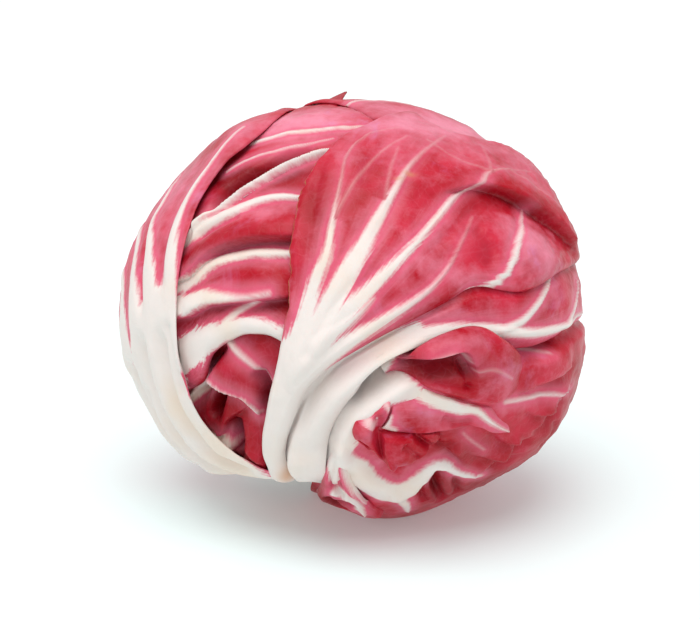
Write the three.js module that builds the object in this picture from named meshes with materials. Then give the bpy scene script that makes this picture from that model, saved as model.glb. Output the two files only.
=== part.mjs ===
// A head of round red radicchio, resting on the small flat spot under its lowest leaf.
// Millimetres, +Z up. The origin is on the ground, under the middle of the head.
//
// The head is a ball of cupped leaves round a short conical stem. Every leaf is a thin shell
// that follows the outline of the head, and each layer of leaves lies a little deeper than
// the last, so no leaf touches the next one.

import * as THREE from "three";

// ---- Driving dimensions of the head ----
const HALF_WIDTH = 65; // left to right, along X
const HALF_DEPTH = 62; // front to back, along Y
const HALF_HEIGHT = 57.8; // before the foot is flattened
const FOOT_DEPTH = 55.3; // from the middle of the head down to the ground
const VIEW_TILT = 15; // degrees that the face of the head looks upwards

// ---- Driving dimensions of the leaves ----
const LEAF_THICKNESS = 1.2;
const LAYER_PITCH = 2.5; // from one layer of leaves to the next
const HEART_LAYERS = 10; // tight leaves between the loose ones and the bud
const HEART_PITCH = 2.5;
const HEART_DEPTH = 20.5; // how deep the first tight leaf lies
const HEART_LEAF_THICKNESS = 1.5;
const BUD_RADIUS = 11;

// ---- The stem ----
const STEM_HALF_ANGLE = 10.5; // of the cone, in degrees
const STEM_ROOT = 15; // from the middle of the head to the inner end of the cone
const STEM_CUT = 43; // from the middle of the head to the cut face
const LEAF_START = 13; // degrees from the stem's axis to where a leaf begins

const GOLDEN_ANGLE = 137.5; // degrees from one leaf to the next round the stem
const MID_RADIUS = (HALF_WIDTH + HALF_DEPTH + HALF_HEIGHT) / 3;
const rad = THREE.MathUtils.degToRad;

// ---- Directions from the middle of the head ----

// A direction by compass and height: azimuth 0 is the front (-Y), positive to the right (+X).
function compass(azimuth, elevation) {
  const a = rad(azimuth);
  const e = rad(elevation);
  return new THREE.Vector3(Math.sin(a) * Math.cos(e), -Math.cos(a) * Math.cos(e), Math.sin(e));
}

const RIGHT = new THREE.Vector3(1, 0, 0);
const FACE = compass(0, VIEW_TILT);
const UP = new THREE.Vector3().crossVectors(RIGHT, FACE).negate();
const STEM = compass(-50, -61);

// A direction on the face of the head: degrees to the right and degrees up from its centre.
function onFace(right, up) {
  const away = rad(Math.hypot(right, up));
  const turn = Math.atan2(up, right);
  return FACE.clone()
    .multiplyScalar(Math.cos(away))
    .addScaledVector(RIGHT, Math.sin(away) * Math.cos(turn))
    .addScaledVector(UP, Math.sin(away) * Math.sin(turn));
}

// ---- The outline of the head: an ellipsoid with a few swellings and the hollow at the stem ----
const SWELLINGS = [
  { at: STEM, width: 15, share: -0.3 },
  { at: onFace(64, 50), width: 13, share: 0.03 },
  { at: onFace(-72, 38), width: 22, share: -0.033 },
  { at: onFace(70, -45), width: 21, share: 0.055 },
  { at: onFace(-60, -54), width: 12, share: 0.03 },
  { at: onFace(22, -78), width: 16, share: 0.022 },
];

function headRadius(direction) {
  const { x, y, z } = direction;
  let radius = 1 / Math.hypot(x / HALF_WIDTH, y / HALF_DEPTH, z / HALF_HEIGHT);
  for (const { at, width, share } of SWELLINGS) {
    const apart = THREE.MathUtils.radToDeg(direction.angleTo(at));
    radius *= 1 + share * Math.exp(-((apart / width) ** 2));
  }
  return z < 0 ? Math.min(radius, FOOT_DEPTH / -z) : radius;
}

// ---- Leaf surfaces: each one gives a direction for u across (0 to 1) and v from base to tip ----

// A leaf whose four edges are drawn on the face of the head.
function drawnLeaf({ left, right, tip }) {
  const curve = (points) => new THREE.SplineCurve(points.map(([x, y]) => new THREE.Vector2(x, y)));
  const leftEdge = curve(left);
  const rightEdge = curve(right);
  const tipEdge = curve(tip);
  const baseEdge = curve([left[0], right[0]]);
  const corners = [left[0], right[0], left.at(-1), right.at(-1)];
  const [baseLeft, baseRight, tipLeft, tipRight] = corners.map(([x, y]) => new THREE.Vector2(x, y));
  return (u, v) => {
    const point = new THREE.Vector2()
      .addScaledVector(baseEdge.getPoint(u), 1 - v)
      .addScaledVector(tipEdge.getPoint(u), v)
      .addScaledVector(leftEdge.getPoint(v), 1 - u)
      .addScaledVector(rightEdge.getPoint(v), u)
      .addScaledVector(baseLeft, -(1 - u) * (1 - v))
      .addScaledVector(baseRight, -u * (1 - v))
      .addScaledVector(tipLeft, -(1 - u) * v)
      .addScaledVector(tipRight, -u * v);
    return onFace(point.x, point.y);
  };
}

// How wide a leaf is along its length, as a share of its greatest half width.
function swell(v) {
  return 0.22 + 0.78 * Math.sin(Math.PI * Math.min(0.12 + 0.76 * v, 1));
}

// A leaf that runs straight from the stem round the head. Heading 0 leaves the stem towards
// the face. Reach and halfWidth are in degrees.
function growingLeaf({ heading, reach, halfWidth }) {
  const ahead = FACE.clone().addScaledVector(STEM, -FACE.dot(STEM)).normalize();
  ahead.applyAxisAngle(STEM, rad(heading));
  const side = new THREE.Vector3().crossVectors(ahead, STEM);
  return (u, v) => {
    const along = rad(LEAF_START + (reach - LEAF_START) * v);
    const across = rad((2 * u - 1) * halfWidth * swell(v));
    return STEM.clone()
      .multiplyScalar(Math.cos(along) * Math.cos(across))
      .addScaledVector(ahead, Math.sin(along) * Math.cos(across))
      .addScaledVector(side, Math.sin(across));
  };
}

// A leaf whose midrib follows a curved route of compass directions over the head.
function windingLeaf({ route, halfWidth }) {
  const midrib = new THREE.CatmullRomCurve3(route.map(([azimuth, up]) => compass(azimuth, up)));
  return (u, v) => {
    const centre = midrib.getPoint(v).normalize();
    const side = new THREE.Vector3().crossVectors(midrib.getTangent(v), centre).normalize();
    const across = rad((2 * u - 1) * halfWidth * swell(v));
    return centre.multiplyScalar(Math.cos(across)).addScaledVector(side, Math.sin(across));
  };
}

// ---- Solids ----

// A closed shell along a leaf surface: its outer face lies `depth` under the head's outline.
function leafShell(directionAt, { depth, thickness, columns, rows }) {
  const positions = [];
  for (const scale of [1 - depth / MID_RADIUS, 1 - (depth + thickness) / MID_RADIUS])
    for (let j = 0; j <= rows; j++)
      for (let i = 0; i <= columns; i++) {
        const direction = directionAt(i / columns, j / rows);
        positions.push(...direction.multiplyScalar(headRadius(direction) * scale));
      }
  const perFace = (columns + 1) * (rows + 1);
  const outer = (i, j) => j * (columns + 1) + i;
  const inner = (i, j) => perFace + outer(i, j);
  const index = [];
  const quad = (a, b, c, d) => index.push(a, b, c, a, c, d);
  for (let j = 0; j < rows; j++)
    for (let i = 0; i < columns; i++) {
      quad(outer(i, j), outer(i + 1, j), outer(i + 1, j + 1), outer(i, j + 1));
      quad(inner(i, j), inner(i, j + 1), inner(i + 1, j + 1), inner(i + 1, j));
    }
  for (let i = 0; i < columns; i++) {
    quad(outer(i, 0), inner(i, 0), inner(i + 1, 0), outer(i + 1, 0));
    quad(outer(i + 1, rows), inner(i + 1, rows), inner(i, rows), outer(i, rows));
  }
  for (let j = 0; j < rows; j++) {
    quad(outer(0, j + 1), inner(0, j + 1), inner(0, j), outer(0, j));
    quad(outer(columns, j), inner(columns, j), inner(columns, j + 1), outer(columns, j + 1));
  }
  const geometry = new THREE.BufferGeometry();
  geometry.setAttribute("position", new THREE.Float32BufferAttribute(positions, 3));
  geometry.setIndex(index);
  geometry.computeVertexNormals();
  return geometry;
}

// The stem: a cone that widens from the bud to the cut face, along +Y before it is turned.
function stemCone() {
  const radiusAt = (distance) => distance * Math.tan(rad(STEM_HALF_ANGLE));
  const bevel = 1;
  const profile = [
    [0, STEM_ROOT],
    [radiusAt(STEM_ROOT), STEM_ROOT],
    [radiusAt(STEM_CUT - bevel), STEM_CUT - bevel],
    [radiusAt(STEM_CUT) - bevel, STEM_CUT],
    [0, STEM_CUT],
  ];
  return new THREE.LatheGeometry(profile.map(([x, y]) => new THREE.Vector2(x, y)), 20);
}

const LEAF_RED = new THREE.MeshStandardMaterial({ color: 0xb8324e, roughness: 0.45, metalness: 0 });
const RIB_WHITE = new THREE.MeshStandardMaterial({ color: 0xece4da, roughness: 0.4, metalness: 0 });
const STEM_CREAM = new THREE.MeshStandardMaterial({ color: 0xdcc9ac, roughness: 0.6, metalness: 0 });

// ---- The head ----
const head = new THREE.Group();
head.position.z = FOOT_DEPTH;

function addLeaf(name, surface, layer, material, grid = {}) {
  const { columns = 12, rows = 14 } = grid;
  const depth = layer * LAYER_PITCH;
  const geometry = leafShell(surface, { depth, thickness: LEAF_THICKNESS, columns, rows });
  const leaf = new THREE.Mesh(geometry, material);
  leaf.name = name;
  head.add(leaf);
}

// The lowest leaf carries the head: the flat foot is on it, right under the middle.
const lowerWrapper = drawnLeaf({
  left: [[-19, -70], [-6, -45], [4, -22], [25, -6], [50, -14], [75, -14], [96, -12]],
  right: [[-19, -84], [-26, -108], [-8, -128], [30, -128], [66, -104], [88, -82], [100, -62]],
  tip: [[96, -12], [106, -36], [100, -62]],
});
addLeaf("lower_wrapper", lowerWrapper, 0, LEAF_RED, { columns: 18, rows: 18 });

const leftWrapper = drawnLeaf({
  left: [[-43, -72], [-72, -72], [-98, -48], [-108, -12], [-104, 28], [-88, 64], [-60, 88]],
  right: [[-36, -67], [-33, -48], [-43, -28], [-47, 0], [-44, 25], [-30, 55], [-17, 75]],
  tip: [[-60, 88], [-38, 90], [-17, 75]],
});
addLeaf("left_wrapper", leftWrapper, 0, RIB_WHITE);

const frontWrapper = drawnLeaf({
  left: [[-29, -67], [-25, -45], [-19, -24], [-15, 8], [-13, 28], [-5, 49]],
  right: [[-23, -68], [-14, -42], [-6, -16], [16, -2], [44, 5], [72, 14], [92, 22]],
  tip: [[-5, 49], [12, 60], [34, 58], [58, 64], [82, 50], [92, 22]],
});
addLeaf("front_wrapper", frontWrapper, 1, LEAF_RED);

const rightWrapper = drawnLeaf({
  left: [[-27, -67], [-18, -45], [-10, -14], [12, 5], [40, 14], [70, 22], [94, 26]],
  right: [[-21, -70], [-5, -45], [4, -25], [25, -18], [50, -20], [72, -20], [94, -16]],
  tip: [[94, 26], [100, 5], [94, -16]],
});
addLeaf("right_wrapper", rightWrapper, 2.2, LEAF_RED);

const secondLeaf = drawnLeaf({
  left: [[-42, -64], [-54, -36], [-58, 0], [-56, 35], [-44, 60], [-24, 80]],
  right: [[-36, -65], [-42, -38], [-38, -18], [-30, -8], [-18, -7], [-5, -5]],
  tip: [[-24, 80], [-6, 66], [3, 42], [2, 16], [-5, -5]],
});
addLeaf("second_leaf", secondLeaf, 3.6, LEAF_RED);

const crumpledLeaf = drawnLeaf({
  left: [[-38, -64], [-48, -42], [-51, -18], [-42, 0]],
  right: [[-29, -65], [-20, -45], [-13, -25], [-10, -8]],
  tip: [[-42, 0], [-25, 5], [-10, -8]],
});
addLeaf("crumpled_leaf", crumpledLeaf, 4.8, LEAF_RED, { columns: 8, rows: 8 });

// The far side: broad leaves that climb from the stem under the head and up its back.
const FAR_LEAVES = [
  { name: "rear_wrapper", heading: 178, reach: 172, halfWidth: 60, layer: 1.2 },
  { name: "rear_right_wrapper", heading: 128, reach: 158, halfWidth: 56, layer: 4.8 },
  { name: "rear_left_wrapper", heading: -128, reach: 158, halfWidth: 56, layer: 7.2 },
];
for (const { name, layer, ...growth } of FAR_LEAVES) addLeaf(name, growingLeaf(growth), layer, LEAF_RED);

// The crown: leaves that come up the back and close over the top of the head.
const CROWN_LEAVES = [
  {
    name: "crown_leaf",
    route: [[-120, -66], [150, -50], [150, 0], [150, 45], [120, 82], [-20, 70]],
    halfWidth: 40,
    layer: 2.4,
  },
  {
    name: "pale_leaf",
    route: [[20, -64], [80, -40], [100, 10], [96, 42], [60, 66], [-60, 74]],
    halfWidth: 36,
    layer: 6,
  },
];
for (const { name, layer, ...growth } of CROWN_LEAVES)
  addLeaf(name, windingLeaf(growth), layer, LEAF_RED);

// The heart: tight leaves, each turned by the golden angle and a little deeper than the last.
for (let k = 0; k < HEART_LAYERS; k++) {
  const surface = growingLeaf({ heading: k * GOLDEN_ANGLE, reach: 150, halfWidth: 66 });
  const shape = {
    depth: HEART_DEPTH + k * HEART_PITCH,
    thickness: HEART_LEAF_THICKNESS,
    columns: 7,
    rows: 8,
  };
  const leaf = new THREE.Mesh(leafShell(surface, shape), k % 2 ? RIB_WHITE : LEAF_RED);
  leaf.name = `heart_leaf_${String(k + 1).padStart(2, "0")}`;
  head.add(leaf);
}

const bud = new THREE.Mesh(new THREE.SphereGeometry(BUD_RADIUS, 16, 10), LEAF_RED);
bud.name = "heart_bud";
bud.scale.set(1, 1, 1.1);
head.add(bud);

const stem = new THREE.Mesh(stemCone(), STEM_CREAM);
stem.name = "stem";
stem.quaternion.setFromUnitVectors(new THREE.Vector3(0, 1, 0), STEM);
head.add(stem);

const model = new THREE.Group();
model.add(head);
export default model;
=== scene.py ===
# %% [markdown]
# # A head of red radicchio
# The head is a ball of cupped leaves round a short stem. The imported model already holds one
# plain shell for each leaf. Here each outer leaf is made again as a fine sheet, with its ribs,
# pleats and rolled margins, and it stands where its plain shell does.

# %% Load the frame
import math

import bpy
import numpy as np
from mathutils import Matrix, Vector
from mathutils.bvhtree import BVHTree


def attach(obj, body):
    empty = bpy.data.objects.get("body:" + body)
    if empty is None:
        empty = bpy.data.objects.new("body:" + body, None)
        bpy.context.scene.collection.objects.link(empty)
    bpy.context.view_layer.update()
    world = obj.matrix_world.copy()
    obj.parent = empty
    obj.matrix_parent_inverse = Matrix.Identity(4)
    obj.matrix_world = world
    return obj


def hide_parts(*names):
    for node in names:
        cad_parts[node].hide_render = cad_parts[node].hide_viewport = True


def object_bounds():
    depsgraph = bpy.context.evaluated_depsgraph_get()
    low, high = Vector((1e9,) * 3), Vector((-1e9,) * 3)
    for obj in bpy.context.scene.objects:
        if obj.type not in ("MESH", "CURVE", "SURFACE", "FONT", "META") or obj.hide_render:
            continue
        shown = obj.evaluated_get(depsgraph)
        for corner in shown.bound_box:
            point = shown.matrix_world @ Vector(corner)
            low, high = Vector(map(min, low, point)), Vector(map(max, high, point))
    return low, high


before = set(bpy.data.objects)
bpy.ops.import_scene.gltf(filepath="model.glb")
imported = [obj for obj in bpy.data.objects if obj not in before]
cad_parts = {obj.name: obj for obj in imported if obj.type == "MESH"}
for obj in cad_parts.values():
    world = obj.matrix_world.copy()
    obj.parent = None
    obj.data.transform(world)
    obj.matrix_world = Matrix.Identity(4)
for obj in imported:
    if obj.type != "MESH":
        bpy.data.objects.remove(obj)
cad_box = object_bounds()
MM = 0.001
GROUND = cad_box[0][2]
SIZE = [high - low for low, high in zip(*cad_box)]
print("the head measures", [round(side / MM, 1) for side in SIZE], "mm")

# %% [markdown]
# ## Directions and the outline of the head
# Every leaf hugs the same rounded outline, so places on the head are given as directions from
# its middle. On the face of the head a place is two angles: degrees to the right and degrees
# up from the centre of the face. That is easier to draw on than X, Y and Z.
#
# The outline itself is an ellipsoid with a few swellings, a hollow round the stem, and a flat
# spot that it rests on.

# %% The outline of the head
HALF_AXES = np.array([65.0, 62.0, 57.8]) * MM
MIDDLE = np.array([0.0, 0.0, GROUND + 55.3 * MM])
FACE_TILT = math.radians(15)
FACE = np.array([0.0, -math.cos(FACE_TILT), math.sin(FACE_TILT)])
RIGHT = np.array([1.0, 0.0, 0.0])
UP = np.array([0.0, math.sin(FACE_TILT), math.cos(FACE_TILT)])


def compass(azimuth, elevation):
    """A direction by compass and height: azimuth 0 is the front, positive to the right."""
    a, e = math.radians(azimuth), math.radians(elevation)
    return np.array([math.sin(a) * math.cos(e), -math.cos(a) * math.cos(e), math.sin(e)])


def on_face(places):
    """Directions for places on the face: degrees right and up, in an array of pairs."""
    places = np.asarray(places, float)
    away = np.hypot(places[..., 0], places[..., 1])
    share = np.sin(np.radians(away)) / np.maximum(away, 1e-9)
    ahead = np.cos(np.radians(away))[..., None] * FACE
    return ahead + (share * places[..., 0])[..., None] * RIGHT + (share * places[..., 1])[..., None] * UP


def face_places(directions):
    """Places on the face (degrees right and up) for directions: the reverse of on_face."""
    across, upwards, ahead = (directions @ axis for axis in (RIGHT, UP, FACE))
    away = np.degrees(np.arccos(np.clip(ahead, -1, 1))) / np.maximum(np.hypot(across, upwards), 1e-9)
    return np.stack([across * away, upwards * away], -1)


STEM = compass(-50, -61)
SWELLINGS = [
    (STEM, 15, -0.3),
    (on_face((64, 50)), 13, 0.03),
    (on_face((-72, 38)), 22, -0.033),
    (on_face((70, -45)), 21, 0.055),
    (on_face((-60, -54)), 12, 0.03),
    (on_face((22, -78)), 16, 0.022),
]


def outline_radius(directions):
    """How far the outline of the head is from its middle, in metres."""
    radius = 1 / np.linalg.norm(directions / HALF_AXES, axis=-1)
    for centre, width, share in SWELLINGS:
        apart = np.degrees(np.arccos(np.clip(directions @ centre, -1, 1)))
        radius = radius * (1 + share * np.exp(-((apart / width) ** 2)))
    down = np.maximum(-directions[..., 2], 1e-6)
    return np.minimum(radius, (MIDDLE[2] - GROUND) / down)


print("the outline is", round(float(outline_radius(FACE)) / MM, 1), "mm from the middle, at the face")

# %% [markdown]
# ## Noise and curves
# Leaves are never quite smooth. Value noise gives each point of a lattice a number and blends
# between them, so it is the same on every run. A noise node could bump a finished mesh, but
# here the bumps have to be in the sheet before the next leaf is pressed under it.

# %% Noise
def lattice_value(corner, seed):
    """A repeatable number from 0 to 1 for each whole-numbered corner of a lattice."""
    x, y, z = (corner[..., k].astype(np.int64) for k in range(3))
    mixed = (x * 73856093 ^ y * 19349663 ^ z * 83492791 ^ seed * 2654435761) & 0xFFFFFFFF
    mixed = ((mixed ^ (mixed >> 15)) * 2246822519) & 0xFFFFFFFF
    mixed = ((mixed ^ (mixed >> 13)) * 3266489917) & 0xFFFFFFFF
    return ((mixed ^ (mixed >> 16)) & 0xFFFFFF) / 0xFFFFFF


def noise(points, cell, seed, octaves=2):
    """Smooth noise from about -1 to 1. A cell is the size of one bump."""
    total, weight, reach = np.zeros(points.shape[:-1]), 1.0, 0.0
    for octave in range(octaves):
        place = points / cell * 2**octave
        low = np.floor(place)
        part = place - low
        part = part * part * (3 - 2 * part)
        value = np.zeros(points.shape[:-1])
        for corner in np.ndindex(2, 2, 2):
            share = np.ones(points.shape[:-1])
            for axis, side in enumerate(corner):
                share = share * (part[..., axis] if side else 1 - part[..., axis])
            value += share * lattice_value(low + np.array(corner), seed + octave)
        total += weight * (2 * value - 1)
        reach += weight
        weight *= 0.5
    return total / reach


sample = noise(np.linspace(0, 100, 900).reshape(-1, 3), cell=1.0, seed=1)
print("the noise runs from", round(float(sample.min()), 2), "to", round(float(sample.max()), 2))

# %% Curves
def smooth_path(points, per_span=8):
    """A smooth curve through a few points (Catmull-Rom)."""
    points = np.asarray(points, float)
    ends = np.vstack([2 * points[0] - points[1], points, 2 * points[-1] - points[-2]])
    part = np.linspace(0, 1, per_span, endpoint=False)[:, None]
    spans = []
    for a, b, c, d in zip(ends, ends[1:], ends[2:], ends[3:]):
        bend = (2 * a - 5 * b + 4 * c - d) * part**2 + (3 * (b - c) + d - a) * part**3
        spans.append(b + 0.5 * ((c - a) * part + bend))
    return np.vstack([*spans, points[-1:]])


def evenly(points, count):
    """That curve as `count` evenly spaced points."""
    path = smooth_path(points, 16)
    length = np.concatenate([[0], np.cumsum(np.linalg.norm(np.diff(path, axis=0), axis=1))])
    wanted = np.linspace(0, length[-1], count)
    return np.stack([np.interp(wanted, length, path[:, k]) for k in range(path.shape[1])], -1)


def ease(x):
    """A soft step from 0 to 1."""
    x = np.clip(x, 0, 1)
    return x * x * (3 - 2 * x)


def from_path(places, path):
    """For each place: its distance to the path, the side it is on (positive on the left of
    the way the path runs) and how far along the path it is, from 0 to 1."""
    nearest = np.full(places.shape[:-1], 1e9)
    side = np.zeros(places.shape[:-1])
    along = np.zeros(places.shape[:-1])
    steps = np.diff(path, axis=0)
    lengths = np.linalg.norm(steps, axis=1)
    before = np.concatenate([[0], np.cumsum(lengths)]) / lengths.sum()
    for start, step, length, low, high in zip(path, steps, lengths, before, before[1:]):
        away = places - start
        part = np.clip(away @ step / max(length**2, 1e-12), 0, 1)
        gap = np.linalg.norm(away - part[..., None] * step, axis=-1)
        closer = gap < nearest
        nearest = np.where(closer, gap, nearest)
        turn = step[0] * away[..., 1] - step[1] * away[..., 0]
        side = np.where(closer, np.sign(turn), side)
        along = np.where(closer, low + part * (high - low), along)
    return nearest, side, along


def profile(values, along):
    """Values spread evenly from the start of a path to its end, read at `along`."""
    values = np.atleast_1d(values)
    return np.interp(along, np.linspace(0, 1, len(values)), values)


print("a path through 3 places gets", len(smooth_path([(0, 0), (1, 2), (0, 4)])), "points")

# %% [markdown]
# ## Growing a leaf
# A leaf starts as a grid of places between four drawn edges: base, left, right and tip (a
# Coons patch). Each place becomes a point on the outline of the head, a little under it.
#
# The relief and the colours are then drawn on with strokes, the way a botanist would draw
# the leaf. These are the kinds of strokes, and what each of them gives, in order:
#
# - a *rib* is a raised white line: path, half widths, heights, feather, pale, relief
# - *paint* is white without relief: path, half widths, feather
# - a *fold* is a step that can hang over its lower side, with painted shade below it: path, heights, width,
#   overhang, fade
# - a *groove* is a narrow valley, painted darker as shade: path, depths, width
# - a *swell*, a *tone* patch and a *stain* are round spots: centre, radius, amount; the tone and shading
#   patch paints light and shade as well as tone
# - a *crumple* is a field of small bumps: amount, cell, seed, stretch, where
# - a *margin* is rolled under: side, drop, reach

# %% The sheet of a leaf
DEGREE = math.radians(1) * 60 * MM  # what one degree measures on the head
# painted shade: creases are painted deeper red by this much for each mm of depth
CREASE_SHADE = 0.1  # how much deeper the red gets for each mm of a crease
STEEPEST = 0.97  # how far round its quarter circle a rolled margin goes, as a sine
HOLLOW_DEPTH = 15 * MM  # how far the leaf bases draw in round the stem
HOLLOW_RIM = 34  # degrees from the stem where they start to draw in
HOLLOW_SLOPE = 18  # degrees that the drawing in takes
BLADE = 0.8 * MM  # how thick a leaf is between its ribs
FOLD_ENDS = 0.15  # the share of its length over which a fold rises, at each end
GROOVE_ENDS = 0.12  # the same for a groove
RIB_ROOM = 4.0  # degrees beside a rib that its feathered edge may colour


def stem_hollow(directions):
    """How far a leaf draws in round the stem, under the head."""
    apart = np.degrees(np.arccos(np.clip(directions @ STEM, -1, 1)))
    return HOLLOW_DEPTH * ease((HOLLOW_RIM - apart) / HOLLOW_SLOPE)


class Sheet:
    """A leaf as a grid of places, with its height over the outline and what its strokes paint."""

    def __init__(self, name, places, to_direction, depth, hollow=1.0):
        self.name = name
        self.places = places
        self.drawn = places  # where the strokes are drawn, in degrees
        self.to_direction = to_direction
        shape = places.shape[:-1]
        self.height = -depth * MM - hollow * stem_hollow(to_direction(places))
        self.shift = np.zeros(places.shape)
        self.rib = np.full(shape, -9.0)
        self.feather = np.zeros(shape)
        self.pale = np.zeros(shape)
        self.thickness = np.full(shape, BLADE)
        self.tone = np.zeros(shape)
        self.tan = np.zeros(shape)
        self.dry = np.zeros(shape)

    def draw(self, **strokes):
        """Draws lists of strokes, one list for each kind. Each stroke gives the values of its
        kind's own method, in that method's order."""
        for kind, rows in strokes.items():
            for row in rows:
                getattr(self, "draw_" + kind)(*row)

    def near(self, path, reach):
        """Which places are within reach of a path, as a mask."""
        low, high = path.min(0) - reach, path.max(0) + reach
        return np.all((self.drawn >= low) & (self.drawn <= high), axis=-1)

    def draw_rib(self, points, width, height, feather, pale=1.0, relief=1.5):
        """A white rib, with half widths in degrees and a height in mm. The feather is how far
        red and white run into each other, pale is how white it is, and the relief is how
        many half widths out the leaf is still raised."""
        path = smooth_path(points)
        mask = self.near(path, max(relief * float(np.max(width)), RIB_ROOM) + RIB_ROOM)
        gap, _, along = from_path(self.drawn[mask], path)
        half = profile(width, along)
        inside = (half - gap) * DEGREE / MM
        wins = inside > self.rib[mask]
        self.rib[mask] = np.where(wins, inside, self.rib[mask])
        self.feather[mask] = np.where(wins, profile(feather, along), self.feather[mask])
        self.pale[mask] = np.where(wins, profile(pale, along), self.pale[mask])
        bump = np.clip(1 - (gap / (relief * np.maximum(half, 0.3))) ** 2, 0, 1) ** 1.5
        rise = profile(height, along) * bump * MM
        self.height[mask] += rise
        self.thickness[mask] = np.maximum(self.thickness[mask], BLADE + rise)

    def draw_paint(self, points, width, feather=1.0):
        """White without any relief."""
        path = smooth_path(points)
        gap, _, along = from_path(self.drawn, path)
        inside = (profile(width, along) - gap) * DEGREE / MM
        wins = inside > self.rib
        self.rib = np.where(wins, inside, self.rib)
        self.feather = np.where(wins, feather, self.feather)
        self.pale = np.where(wins, 1.0, self.pale)

    def draw_fold(self, points, height, width=1.5, overhang=0.0, fade=12.0):
        """A step along a path, high on the left of the way it runs. The high lip leans over
        the low side by `overhang` degrees, and the step fades out over `fade` degrees; painted shade
        darkens the low side."""
        path = smooth_path(points)
        mask = self.near(path, fade + 2)
        gap, side, along = from_path(self.drawn[mask], path)
        across = gap * side
        ends = ease(along / FOLD_ENDS) * ease((1 - along) / FOLD_ENDS)
        tall = profile(height, along) * ends * MM
        near_path = ease((fade - gap) / fade) * 0.5
        high = ease(0.5 + across / (2 * width)) * near_path
        low = ease(0.5 - across / (2 * width)) * near_path
        self.height[mask] += tall * (high - low)
        shade = np.exp(-(((across + 1.3 * width) / (1.5 * width)) ** 2))
        # painted shade: the low side of the fold is painted a deeper red
        self.tone[mask] -= CREASE_SHADE * tall / MM * shade
        if overhang:
            tangent = np.gradient(path, axis=0)
            row = np.clip((along * (len(path) - 1)).round().astype(int), 0, len(path) - 1)
            tangent = tangent[row] / np.linalg.norm(tangent[row], axis=-1, keepdims=True)
            down = np.stack([tangent[:, 1], -tangent[:, 0]], -1)
            lean = np.exp(-(((across - width) / (1.6 * width)) ** 2)) * ends * overhang
            self.shift[mask] += lean[:, None] * down

    def draw_groove(self, points, depth, width=1.5):
        """A narrow valley, with a depth in mm and a width in degrees, painted a deeper red as shade."""
        path = smooth_path(points)
        mask = self.near(path, 4 * float(np.max(width)))
        gap, _, along = from_path(self.drawn[mask], path)
        ends = ease(along / GROOVE_ENDS) * ease((1 - along) / GROOVE_ENDS)
        deep = profile(depth, along) * np.exp(-((gap / profile(width, along)) ** 2)) * ends
        self.height[mask] -= deep * MM
        # painted shade: the valley is painted a deeper red
        self.tone[mask] -= CREASE_SHADE * deep

    def spot(self, centre, radius):
        """A soft round spot: 1 in the middle, and fading out by its radius, right and up."""
        away = (self.drawn - np.asarray(centre, float)) / np.asarray(radius, float)
        return np.exp(-(away**2).sum(-1))

    def draw_swell(self, centre, radius, height):
        """A round bump, or a dent where the height is below zero."""
        self.height += height * MM * self.spot(centre, radius)

    def draw_tone(self, centre, radius, amount):
        """A patch of tone that also paints light and shade: above zero brighter and pinker, which paints
        the highlight where light falls; below zero deeper red, which paints the shade in hollows and under
        folds.
        """
        self.tone += amount * self.spot(centre, radius)

    def draw_stain(self, centre, radius, amount):
        """A tan patch where the leaf has dried."""
        self.tan += amount * self.spot(centre, radius)

    def draw_margin(self, side, drop, reach):
        """Rolls a margin under. How far it drops and how far in the roll starts are in mm,
        and both run from the base to the tip. A drop below zero lifts the margin."""
        edge = self.from_edges()[side]
        rows, columns = edge.shape
        along = np.linspace(0, 1, columns)[None] if side == "tip" else np.linspace(0, 1, rows)[:, None]
        part = np.clip(1 - edge / profile(reach, along), 0, STEEPEST)
        deepest = 1 - math.sqrt(1 - STEEPEST**2)
        self.height -= profile(drop, along) * (1 - np.sqrt(1 - part**2)) / deepest * MM

    def serrate(self, amount, cell, seed, above):
        """Small teeth along the left margin, in degrees, where it is above a given height."""
        edge = self.from_edges()["left"]
        row = np.broadcast_to(self.places[:, :1, 1], edge.shape)
        teeth = noise(np.stack([row, 0 * edge, 0 * edge], -1), cell, seed)
        self.shift[..., 0] += amount * teeth * np.exp(-((edge / 1.2) ** 2)) * ease((row - above) / 6)

    def draw_crumple(self, amount, cell, seed, stretch=(1.0, 1.0), where=1.0):
        """Uneven small bumps, with an amount in mm and a cell in degrees."""
        scaled = self.drawn * np.asarray(stretch)
        flat = np.concatenate([scaled, np.full(scaled.shape[:-1] + (1,), 0.5)], -1)
        self.height += noise(flat, cell, seed) * amount * MM * where

    def from_edges(self):
        """The distance in mm from each place to the left, right and tip edges."""
        points = self.points()
        across = np.linalg.norm(np.diff(points, axis=1), axis=-1)
        left = np.concatenate([np.zeros((len(points), 1)), np.cumsum(across, 1)], 1)
        ahead = np.linalg.norm(np.diff(points, axis=0), axis=-1)
        base = np.concatenate([np.zeros((1, points.shape[1])), np.cumsum(ahead, 0)], 0)
        return {"left": left / MM, "right": (left[:, -1:] - left) / MM, "tip": (base[-1:] - base) / MM}

    def points(self):
        """The sheet's points on the head, in metres."""
        directions = self.to_direction(self.places + self.shift)
        radius = outline_radius(self.to_direction(self.places)) + self.height
        return MIDDLE + directions * radius[..., None]


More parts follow.
